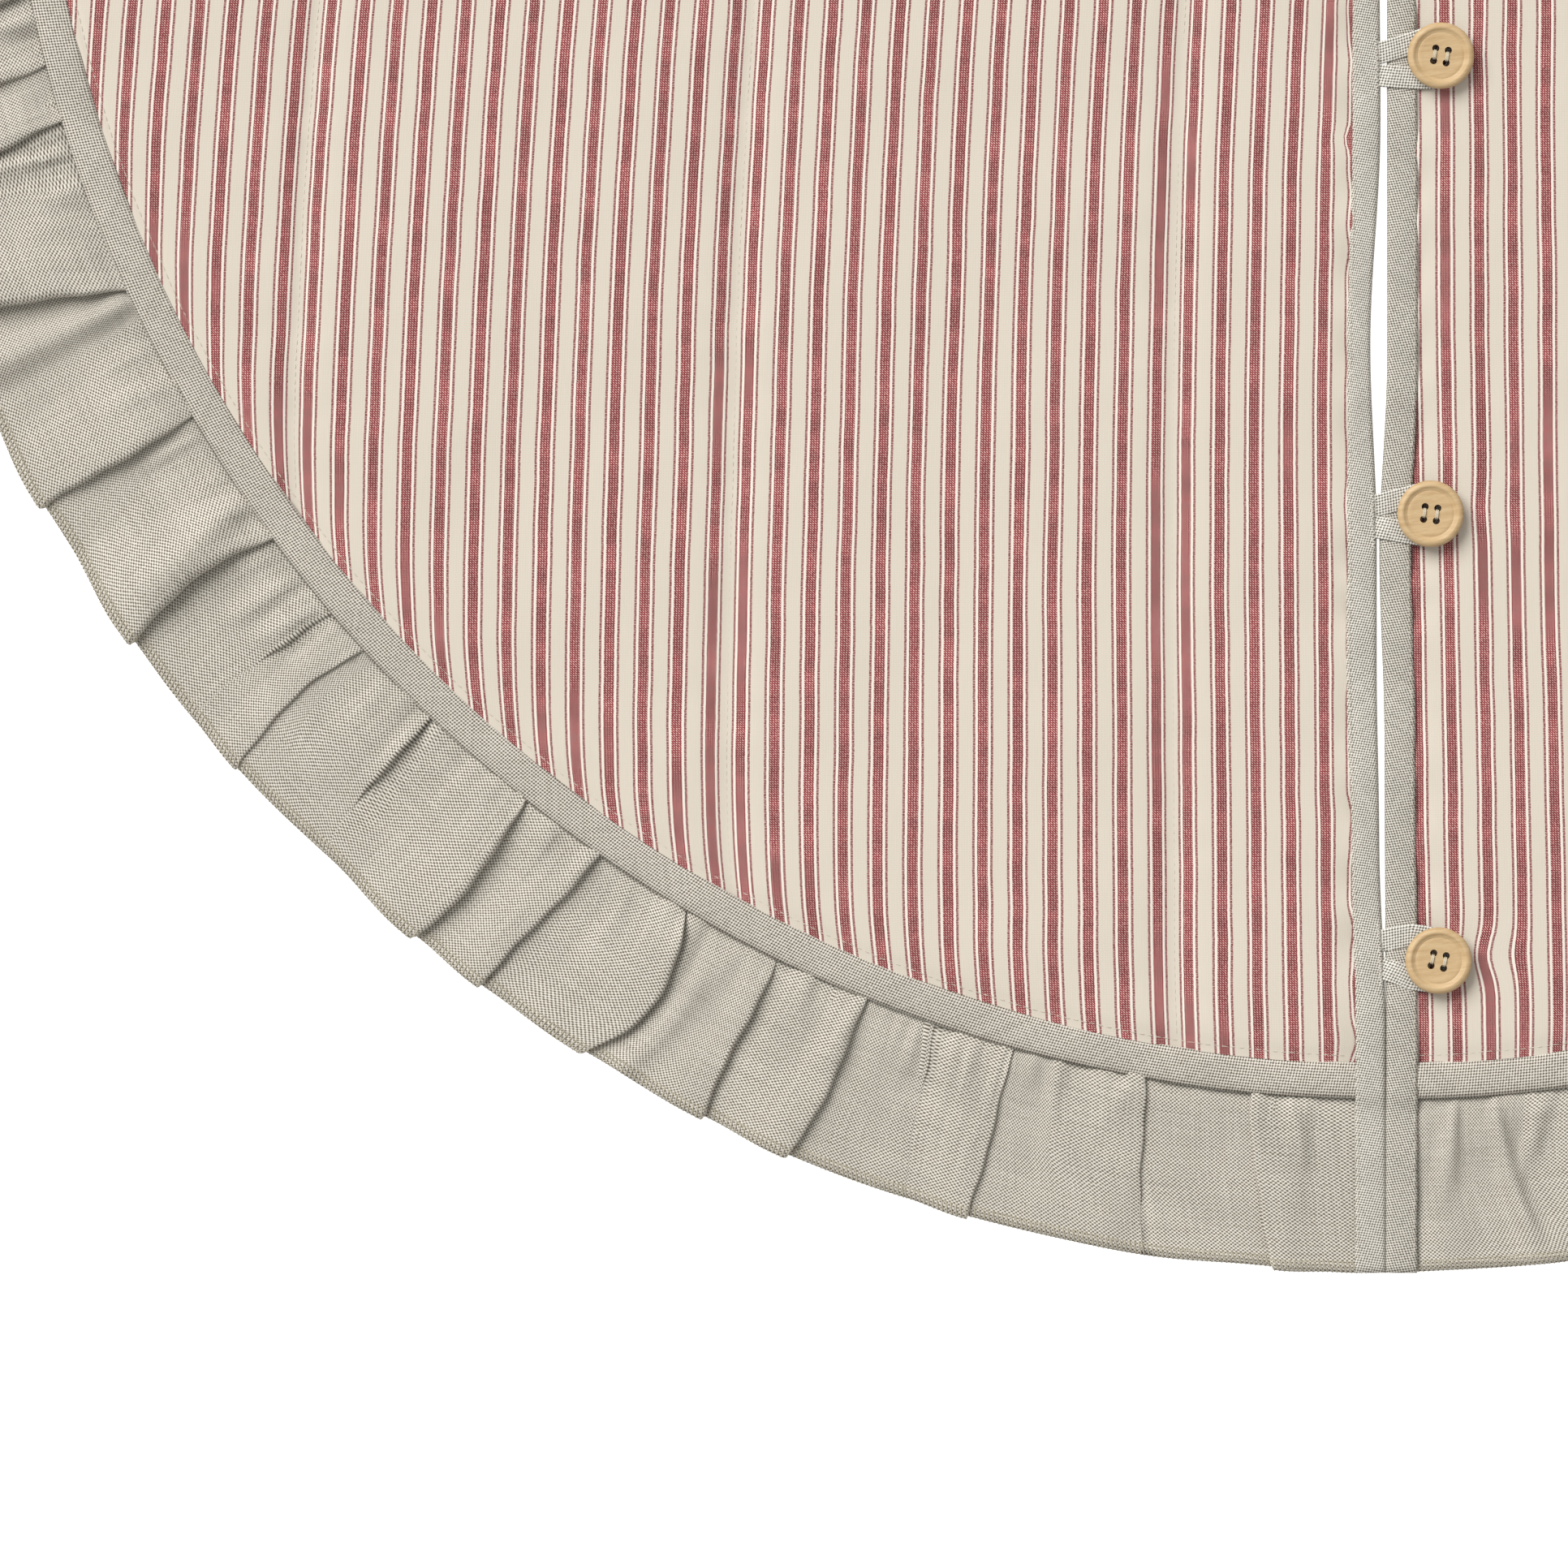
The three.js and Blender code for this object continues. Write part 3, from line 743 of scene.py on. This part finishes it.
def onGrid(grid, row, column, lift):
    # places on a grid of points, between its rows and columns, and lifted off it
    row, column = np.asarray(row, float), np.asarray(column, float)
    normal = np.cross(np.gradient(grid, axis=0), np.gradient(grid, axis=1))
    normal /= np.maximum(np.linalg.norm(normal, axis=2, keepdims=True), 1e-9)
    if normal[..., 2].sum() < 0:
        normal = -normal
    i, j = np.floor(row).astype(int), np.floor(column).astype(int)
    i, j = np.clip(i, 0, grid.shape[0] - 2), np.clip(j, 0, grid.shape[1] - 2)
    f, g = (row - i)[..., None], (column - j)[..., None]
    across = lambda m, j: m[i, j] * (1 - f) + m[i + 1, j] * f
    blend = lambda m: across(m, j) * (1 - g) + across(m, j + 1) * g
    return blend(grid) + blend(normal) * np.asarray(lift, float)[..., None]


def makeHemStitches(made):
    # slanted threads wrapped over the cut edge, and a line of stitches along their inner side
    for side, (grid, _) in made.items():
        hem = grid[:, -1]
        length = np.concatenate([[0], np.cumsum(np.linalg.norm(np.diff(hem, axis=0), axis=1))])
        reach = ruffle["hemWidth"] / (skirt["hemRadius"] - ruffle["inner"]) * (ruffle["stations"] - 1)
        s = np.arange(1, length[-1] - 3, 1.9)[:, None] + np.array([0, 0.5, 1.0, 1.3])
        row = np.interp(s, length, np.arange(len(hem)))
        column = ruffle["stations"] - 1 - reach * np.array([1, 0.6, 0.25, -0.03]) + 0 * row
        lines = onGrid(grid, row, column, [0.22, 0.42, 0.42, 0.1])
        s = np.arange(1, length[-1] - 3, 2.2)[:, None] + np.linspace(0, 1.7, 4)
        row = np.interp(s, length, np.arange(len(hem)))
        chain = onGrid(grid, row, ruffle["stations"] - 1 - reach + 0 * s, [0.0, 0.25, 0.25, 0.0])
        over = threads(np.concatenate([lines, chain]), 0.3, 4)
        piece = makePiece(f"hem_overlock_{side}", *over, looks["hemThread"])
        rideHalf(piece)
    print("hem overlocked")


# ---- bindings: a folded strip round the raw edges

# down the slit: how far each binding's two edges lie from its line, where they turn
slit = dict(
    width=11.4, thickness=0.55, top=5.35, topAtRuffle=3.3,
    left=[
        (-76, -2, -12), (-160, -1.5, -12), (-245, -5.5, -14), (-320, -3, -14), (-370, -3, -14.5),
        (-440, -2, -12.5), (-510, 0.5, -11), (-610, 0.5, -11),
    ],
    right=[
        (-76, 1.5, 12), (-180, 1.5, 13), (-250, 1.5, 13), (-325, -1.5, 10.5), (-400, 0.5, 12),
        (-510, 1, 13), (-610, 1, 13),
    ],
)


def slitEdge(side, y):
    # eased from one turn to the next
    rows = np.array(sorted(slit[side]), float)
    k = np.clip(np.searchsorted(rows[:, 0], y) - 1, 0, len(rows) - 2)
    t = np.clip((y - rows[k, 0]) / (rows[k + 1, 0] - rows[k, 0]), 0, 1)
    t = t * t * (3 - 2 * t)
    return [rows[k, c] + (rows[k + 1, c] - rows[k, c]) * t for c in (1, 2)]


def bindingSection():
    # once round a folded strip: how far in from the bound edge and how high, as shares of width and height
    bend = np.radians(np.linspace(-90, 90, 9))
    lower = np.stack([np.linspace(1, 0.16, 5), np.zeros(5)], 1)
    nose = np.stack([0.16 - 0.16 * np.cos(bend), 0.5 + 0.5 * np.sin(bend)], 1)
    s = np.linspace(0.16, 1, 10)[1:]
    upper = np.stack([s, 1 + 0.06 * np.sin((s - 0.16) / 0.84 * math.pi) - 0.13 * s**8], 1)
    tuck = np.stack([[0.985, 0.9], [0.80, 0.79]], 1)
    return np.concatenate([lower, nose, upper, tuck])


def makeSlitBindings():
    for side, sign in sides.items():
        y = np.linspace(-skirt["holeRadius"] + 0.5, -skirt["hemRadius"] + 2.4, 190)
        edge, inner = slitEdge(side, y)
        smooth = np.exp(-np.linspace(-2, 2, 13) ** 2)
        smooth /= smooth.sum()
        pad = lambda v: np.convolve(np.pad(v, 6, mode="edge"), smooth, mode="valid")
        edge, inner = pad(edge), pad(inner)
        drop = smoothStep(-537, -545, y)
        top = slit["top"] + (slit["topAtRuffle"] - slit["top"]) * drop
        top = top + 0.22 * softNoise(y, 0 * y, 16, 61 + sign)
        section = bindingSection()
        share, rise = section[:, 0][None, :], section[:, 1][None, :]
        x = edge[:, None] + (inner - edge)[:, None] * share
        x = x + 0.25 * softNoise(y[:, None], 20 * share, 9, 63 + sign) * (share > 0.9)
        z = 0.35 + (top[:, None] - 0.35) * rise
        z = z + 0.16 * softNoise(x, y[:, None] + 0 * x, 7, 65 + sign) * (rise > 0.9)
        grid = np.stack([x, y[:, None] + 0 * x, z], 2)
        around1 = np.concatenate([[0], np.cumsum(np.hypot(np.diff(share[0] * 11.4), np.diff(rise[0] * 5)))])
        cloth = np.stack(np.broadcast_arrays(around1[None, :], y[:, None]), 2)
        skin, quads, coords = shell(grid, cloth, slit["thickness"])
        # the right binding takes the left's linen in darker, painted-shade colours
        piece = makePiece(f"slit_binding_{side}_strip", skin, quads, coords, looks[f"{side}Binding"])
        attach(piece, f"front_{side}")
        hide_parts(f"slit_binding_{side}")
    print("slit bound")


def makeNeckBindings():
    for side, (start, end) in edges.items():
        inset = math.degrees(math.asin(13.2 / skirt["holeRadius"]))
        low, high = (start, end - inset) if side == "left" else (start + inset, end)
        degrees = np.linspace(low, high, 120)[:, None]
        section = bindingSection()
        share, rise = section[:, 0][None, :], section[:, 1][None, :]
        radius = skirt["holeRadius"] + 0.3 + slit["width"] * share
        arc = np.radians(degrees) * 80
        pucker = 0.2 * softNoise(arc, 12 * share, 6, 71) * (rise > 0.8)
        z = 0.35 + 5.0 * rise + pucker
        grid = around(radius + 0 * degrees, degrees + 0 * radius, z)
        length = np.concatenate([[0], np.cumsum(np.hypot(np.diff(share[0] * 11.4), np.diff(rise[0] * 5)))])
        cloth = np.stack(np.broadcast_arrays(length[None, :], arc), 2)
        skin, quads, coords = shell(grid, cloth, slit["thickness"])
        piece = makePiece(f"neck_binding_{side}_strip", skin, quads, coords, looks["leftBinding"])
        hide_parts("neck_binding_back", f"neck_binding_{side}")
        rideHalf(piece)
    print("trunk hole bound")


# ---- loops, buttons and their thread

# each loop: where its ends are sewn on, half the distance between its strands there, how fast they part
loops = dict(
    width=8.3, thickness=0.38, height=0.5, halfMost=8.6, past=3.6, lift=5.75,
    rootY=(-135.7, -312.2, -483.2), half=(4.1, 3.85, 5.0), part=(0.19, 0.22, 0.28),
)


def loopSection():
    # once round a strip whose two edges are turned in to meet underneath: across from -1 to 1, up from 0 to 1
    nose = np.radians(np.linspace(-80, 80, 5))
    under = np.linspace(0.04, 0.88, 4)
    over = np.linspace(0.84, -0.84, 9)
    right = np.stack([0.88 + 0.12 * np.cos(nose), 0.5 + 0.5 * np.sin(nose)], 1)
    top = np.stack([over, 1 + 0.25 * (1 - (over / 0.84) ** 2)], 1)
    left = right[::-1] * [-1, 1]
    flat = np.stack([under, 0 * under], 1)
    return np.concatenate([flat, right, top[1:-1], left, flat[::-1] * [-1, 1]])


def makeLoops():
    k = loops
    for n, (bx, by) in enumerate(buttons["at"], 1):
        rootY, half, part = k["rootY"][n - 1], k["half"][n - 1], k["part"][n - 1]
        root = float(slitEdge("left", rootY)[0]) - 1.6
        straight = np.linspace(0, 1, 18)
        bendHalf = min(half + part * (bx - root), k["halfMost"])
        bend = bx + k["past"] - bendHalf * 0.55
        spread = np.minimum(half + part * (bend - root) * straight, bendHalf)
        middle = rootY + (by - rootY) * straight**1.5
        out = np.stack([root + (bend - root) * straight, middle + spread], 1)
        home = np.stack([out[:, 0], middle - spread], 1)[::-1]
        turn = np.radians(np.linspace(90, -90, 19))[1:-1]
        tip = np.stack([bend + bendHalf * 0.85 * np.cos(turn), by + bendHalf * np.sin(turn)], 1)
        line = np.concatenate([out, tip, home])
        along = np.concatenate([[0], np.cumsum(np.linalg.norm(np.diff(line, axis=0), axis=1))])
        way = np.gradient(line, axis=0)
        way /= np.linalg.norm(way, axis=1, keepdims=True)
        side = np.stack([-way[:, 1], way[:, 0]], 1)
        section = loopSection()
        width = k["width"] * (1 - 0.2 * smoothStep(bend - 4, bend + 3, line[:, 0]))
        flat = line[:, None, :] + side[:, None, :] * (width[:, None] / 2 * section[None, :, 0])[..., None]
        lift = k["lift"] - 1.9 * (1 - smoothStep(root, root + 6, line[:, 0]))
        z = lift[:, None] + k["height"] * section[None, :, 1]
        z = z + 0.14 * softNoise(flat[..., 0], flat[..., 1], 4, 80 + n) * (section[None, :, 1] > 0.9)
        grid = np.concatenate([flat, z[..., None]], 2)
        turns = np.diff(section * [k["width"] / 2, k["height"]], axis=0)
        round1 = np.concatenate([[0], np.cumsum(np.hypot(*turns.T))])
        cloth = np.stack(np.broadcast_arrays(along[:, None], round1[None, :]), 2)
        skin, quads, coords = shell(grid, cloth, k["thickness"])
        piece = makePiece(f"loop_{n}_strip", skin, quads, coords, looks["loop"])
        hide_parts(f"loop_{n}")
        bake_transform(piece)
    print("loops made")


def makeTacks():
    # a zigzag of thread holds each loop's ends down inside the left binding's edge
    for n, rootY in enumerate(loops["rootY"], 1):
        y = np.arange(rootY - 12.5, rootY + 12.5, 1.05)
        edge = slitEdge("left", y)[0]
        reach = np.where(np.arange(len(y)) % 2, -2.1, -0.5) + 0.25 * softNoise(y, 0 * y, 3, 95 + n)
        knots = np.stack([edge + reach, y, slit["top"] + 0.28 + 0 * y], 1)
        a, b = knots[:-1], knots[1:]
        lines = a[:, None] + (b - a)[:, None] * np.array([0, 0.25, 0.5, 0.75, 1])[:, None]
        lines[..., 2] += [-0.25, 0.08, 0.14, 0.08, -0.25]
        piece = makePiece(f"loop_{n}_tack", *threads(lines, 0.24, taper=True), looks["tackThread"])
        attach(piece, "front_left")
    print("loops tacked down")


def turned(profile, steps, centre):
    # a profile of (radius, height), spun about the upright
    profile = np.array(profile, float)
    angle = np.linspace(0, 2 * math.pi, steps, endpoint=False)
    x = profile[:, 0] * np.cos(angle)[:, None] + centre[0]
    y = profile[:, 0] * np.sin(angle)[:, None] + centre[1]
    points = np.stack([x, y, np.broadcast_to(profile[:, 1], x.shape)], 2)
    count = len(profile)
    i, j = np.meshgrid(np.arange(steps), np.arange(count - 1), indexing="ij")
    a, b = (i * count + j).ravel(), ((i + 1) % steps * count + j).ravel()
    return points.reshape(-1, 3), np.stack([a, b, b + 1, a + 1], 1)


def threads(lines, radius, sides=5, taper=False):
    # round threads with the same number of knots each, closed at both ends
    # returns points, faces, cloth coordinates
    lines = np.asarray(lines, float)
    count, knots = lines.shape[:2]
    way = np.gradient(lines, axis=1)
    way /= np.maximum(np.linalg.norm(way, axis=2, keepdims=True), 1e-9)
    up = np.where(np.abs(way[..., 2:]) > 0.9, [1.0, 0.0, 0.0], [0.0, 0.0, 1.0])
    side = np.cross(way, up)
    side /= np.maximum(np.linalg.norm(side, axis=2, keepdims=True), 1e-9)
    over = np.cross(side, way)
    angle = np.linspace(0, 2 * math.pi, sides, endpoint=False)
    size = np.full(knots, float(radius))
    if taper:
        size[[0, -1]] *= 0.45
    ring = side[:, :, None] * np.cos(angle)[:, None] + over[:, :, None] * np.sin(angle)[:, None]
    points = lines[:, :, None] + ring * size[:, None, None]
    first = (np.arange(count) * knots * sides)[:, None, None]
    skin = (gridFaces(knots, sides, wrapColumns=True)[None] + first).reshape(-1, 4)
    cap = np.stack([np.arange(sides)[::-1], np.arange(sides) + (knots - 1) * sides])
    caps = (cap[None] + first).reshape(-1, sides)
    along = np.cumsum(np.linalg.norm(np.diff(lines, axis=1, prepend=lines[:, :1]), axis=2), axis=1)
    cloth = np.stack(np.broadcast_arrays(along[:, :, None], angle * radius), 3)
    return points.reshape(-1, 3), [skin, caps], cloth.reshape(-1, 2)


def joined(*parts):
    points, faces, cloth, first = [], [], [], 0
    for p, groups, c in parts:
        points.append(p)
        faces += [f + first for f in (groups if isinstance(groups, list) else [groups])]
        cloth.append(c)
        first += len(p)
    return np.concatenate(points), faces, np.concatenate(cloth)


# a sewing thread between two holes: share of the way across, and height above the dish
arch = (
    (0.13, -2.6), (0.15, -0.6), (0.2, 0.12), (0.32, 0.42), (0.5, 0.5),
    (0.68, 0.42), (0.8, 0.12), (0.85, -0.6), (0.87, -2.6),
)
shank = dict(radius=1.7, waist=1.6, low=4.8, middle=6.0, high=7.9, wound=1.75, thread=0.27, turns=5)


def makeButtons():
    k = buttons
    rim, thick, r = k["rim"], k["thick"], k["radius"]
    outline = [(0.001, 0), (r - 2.4, 0)]
    edge = np.radians(np.linspace(-80, 78, 11))
    outline += [(r - 2.0 + 2.0 * math.cos(a), thick / 2 + 0.02 + (thick / 2) * math.sin(a)) for a in edge]
    inner = np.linspace(0, 1, 9)[1:]
    sink = lambda a: (k["dish"] - 0.15) * float(smoothStep(0.15, 1, a)) - 0.05 * math.sin(a * math.pi)
    outline += [(r - 1.7 - (rim - 1.7) * a, thick - sink(a)) for a in inner]
    outline += [(r - rim - 0.35, thick - k["dish"] - 0.05), (r - rim - 0.8, thick - k["dish"] + 0.06)]
    floor = [7.5, 6, 4.5, 3, 1.5, 0.001]
    outline += [(q, thick - k["dish"] + 0.04 - 0.22 * (1 - q / (r - rim))) for q in floor]
    for n, (at, turn) in enumerate(zip(k["at"], k["turn"]), 1):
        points, faces = turned([(q, z + k["base"]) for q, z in outline], 96, at)
        flat = points[:, :2] - np.array(at) + [n * 37.0, n * 11.0]
        piece = makePiece(f"button_{n}_disc", points, faces, flat, looks["wood"], weld=0.02)
        half = k["spacing"] / 2
        c, s = math.cos(math.radians(turn)), math.sin(math.radians(turn))
        corners = ((-1, -1), (-1, 1), (1, -1), (1, 1))
        holes = [(at[0] + half * (i * c - j * s), at[1] + half * (i * s + j * c)) for i, j in corners]
        # the hole walls take the painted-shade wood, dark for the shadow inside the holes
        piece.data.materials.append(looks["paintedShadeWood"])
        for hx, hy in holes:
            low, high, well = k["base"] - 1, k["base"] + thick + 1, k["base"] + thick - k["dish"]
            drill = [(0.001, low), (k["hole"], low), (k["hole"], well - 0.45)]
            drill += [(k["hole"] + 0.32, well + 0.02), (k["hole"] + 0.5, high), (0.001, high)]
            dp, df = turned(drill, 20, (hx, hy))
            cutter = makePiece("drill", dp, df, dp[:, :2], looks["paintedShadeWood"], weld=0.02)
            cut = piece.modifiers.new("drill", "BOOLEAN")
            cut.operation, cut.object = "DIFFERENCE", cutter
            cut.solver, cut.material_mode = "EXACT", "TRANSFER"
            bpy.context.view_layer.objects.active = piece
            bpy.ops.object.modifier_apply(modifier=cut.name)
            bpy.data.objects.remove(cutter)
        piece.data.polygons.foreach_set("use_smooth", np.ones(len(piece.data.polygons), dtype=bool))
        piece.data.set_sharp_from_angle(angle=math.radians(38))
        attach(piece, f"button_{n}")
        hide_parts(f"button_{n}")
        bars = []
        top = k["base"] + thick - k["dish"] - 0.12
        for i, (a, b) in enumerate(((holes[0], holes[1]), (holes[2], holes[3]))):
            for strand in (-0.4, 0.0, 0.4):
                dx, dy = strand * c, strand * s
                knots = []
                for q, rise in arch:
                    knots.append((a[0] + (b[0] - a[0]) * q + dx, a[1] + (b[1] - a[1]) * q + dy, top + rise))
                bars.append(knots)
        piece = makePiece(f"button_{n}_thread", *threads(bars, 0.23, 8), looks["buttonThread"])
        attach(piece, f"button_{n}")
        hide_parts(f"button_thread_{n}")
        a = np.linspace(0, 2 * shank["turns"] * math.pi, 90)
        wide, low, high = shank["radius"], shank["low"], shank["high"]
        across = [at[0] + shank["wound"] * np.cos(a), at[1] + shank["wound"] * np.sin(a)]
        wound = np.stack([*across, low + 0.15 + 0.092 * a], 1)
        waist = (shank["waist"], shank["middle"])
        core, quads = turned([(0.001, low), (wide, low), waist, (wide, high), (0.001, high)], 16, at)
        whole = joined(threads([wound], shank["thread"], 6), (core, quads, core[:, :2]))
        piece = makePiece(f"button_{n}_shank", *whole, looks["buttonThread"])
        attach(piece, f"button_shank_{n}")
        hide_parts(f"button_shank_{n}")
    print("buttons turned and sewn on")


def stitchRun(line, pitch, gap, radius, lift, slant=0.0):
    # short threads along a line of points, each dipping into the cloth at its ends
    line = np.array(line, float)
    along = np.concatenate([[0], np.cumsum(np.linalg.norm(np.diff(line, axis=0), axis=1))])
    s = np.arange(0.3, along[-1] - pitch, pitch)[:, None] + (pitch - gap) * np.array([0, 0.2, 0.5, 0.8, 1])
    place = np.stack([np.interp(s, along, line[:, k]) for k in range(3)], 2)
    way = place[:, -1] - place[:, 0]
    side = np.stack([-way[:, 1], way[:, 0], 0 * way[:, 0]], 1)
    side /= np.maximum(np.linalg.norm(side, axis=1, keepdims=True), 1e-9)
    place = place + side[:, None] * (np.array([-1, -0.6, 0, 0.6, 1]) * slant)[:, None]
    place[..., 2] += radius * lift * np.array([-0.6, 0.55, 0.9, 0.55, -0.6])
    return place


def quiltLine(target, y):
    x = (target - stripes["anchor"]) / stripes["perMm"] + 0 * y
    for _ in range(30):
        x = x + (target - stripeNumber(x, y)) / stripes["perMm"] * 0.7
    return x


def makeQuilting():
    for side, sign in sides.items():
        parts = []
        for n in range(-1, 6):
            target = stripes["quiltAt"] + stripes["quiltEvery"] * n
            y = np.linspace(-520, 520, 1500)
            x = quiltLine(target, y)
            radius = np.hypot(x, y)
            keep = (radius < 521) & (radius > 89) & (x * sign > 0)
            for part in np.split(np.arange(len(y)), np.where(~keep)[0]):
                part = part[1:] if len(part) and not keep[part[0]] else part
                if len(part) > 20:
                    line = np.stack([x[part], y[part], topZ(x[part], y[part])], 1)
                    parts.append(stitchRun(line, 3.1, 0.9, 0.15, 0.6))
        sewn = threads(np.concatenate(parts), 0.15, taper=True)
        piece = makePiece(f"quilting_{side}", *sewn, looks["quiltThread"])
        rideHalf(piece)
    print("quilting sewn")


def makeStitches():
    for side, (start, end) in edges.items():
        sign = sides[side]
        inset = math.degrees(13.5 / skirt["panelRadius"])
        low, high = (start, end - inset) if side == "left" else (start + inset, end)
        degrees = np.linspace(low, high, 1200)
        wobble = 0.22 * softNoise(degrees * 9, 0 * degrees, 12, 91)
        radius = skirt["panelRadius"] - 2.6 + wobble
        x, y = radius * np.cos(np.radians(degrees)), radius * np.sin(np.radians(degrees))
        lines = stitchRun(np.stack([x, y, topZ(x, y)], 1), 3.3, 0.7, 0.16, 1.0)
        piece = makePiece(f"topstitch_{side}", *threads(lines, 0.16, taper=True), looks["thread"])
        rideHalf(piece)
        y = np.linspace(-90, -603, 900)
        inner = slitEdge(side, y)[1]
        z = slit["top"] + (slit["topAtRuffle"] - slit["top"]) * smoothStep(-537, -545, y) + 0.05
        x = inner - 1.0 * sign
        lines = stitchRun(np.stack([x, y, z + 0.08], 1), 2.3, 0.8, 0.24, 1.0, slant=0.45)
        piece = makePiece(f"binding_stitch_{side}", *threads(lines, 0.24, taper=True), looks["thread"])
        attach(piece, f"front_{side}")
    print("stitching sewn")


makeTops()
makeLinings()
makeBands()
made = makeRuffles()
makeHemStitches(made)
makeSlitBindings()
makeNeckBindings()
makeLoops()
makeTacks()
makeButtons()
makeStitches()
makeQuilting()


# ---- floor, light and camera

studio = dict(sky=0.52, sun=3.2, sunAngle=40, sunFrom=(-0.52, 0.60, 0.76), glow=0.7)


def makeStudio():
    look = Look("white_floor", Roughness=1.0)
    look.shader.inputs["Base Color"].default_value = (0.95, 0.95, 0.95, 1)
    look.shader.inputs["Emission Color"].default_value = (1, 1, 1, 1)
    look.shader.inputs["Emission Strength"].default_value = studio["glow"]
    mesh = bpy.data.meshes.new("floor")
    far, under = 9, -0.0003
    corners = [(-far, -far, under), (far, -far, under), (far, far, under), (-far, far, under)]
    mesh.from_pydata(corners, [], [(0, 1, 2, 3)])
    mesh.materials.append(look.material)
    floor = bpy.data.objects.new("floor", mesh)
    bpy.context.scene.collection.objects.link(floor)
    world = bpy.data.worlds.new("soft_white")
    world.use_nodes = True
    world.node_tree.nodes["Background"].inputs[0].default_value = (1, 1, 1, 1)
    world.node_tree.nodes["Background"].inputs[1].default_value = studio["sky"]
    bpy.context.scene.world = world
    lamp = bpy.data.lights.new("window", "SUN")
    lamp.energy, lamp.angle = studio["sun"], math.radians(studio["sunAngle"])
    light = bpy.data.objects.new("window", lamp)
    light.rotation_mode = "QUATERNION"
    light.rotation_quaternion = Vector(studio["sunFrom"]).to_track_quat("Z", "Y")
    bpy.context.scene.collection.objects.link(light)
    bpy.context.scene.view_settings.view_transform = "Standard"
    print("studio lit")


camera = dict(at=(-0.2342, -0.4167), height=6.0, across=0.6122, sensor=36.0)


def makeCamera():
    lens = bpy.data.cameras.new("camera")
    lens.sensor_width = camera["sensor"]
    lens.lens = camera["sensor"] * (camera["height"] - 0.004) / camera["across"]
    lens.clip_end = 100
    eye = bpy.data.objects.new("camera", lens)
    eye.location = (*camera["at"], camera["height"])
    bpy.context.scene.collection.objects.link(eye)
    bpy.context.scene.camera = eye


makeStudio()
makeCamera()
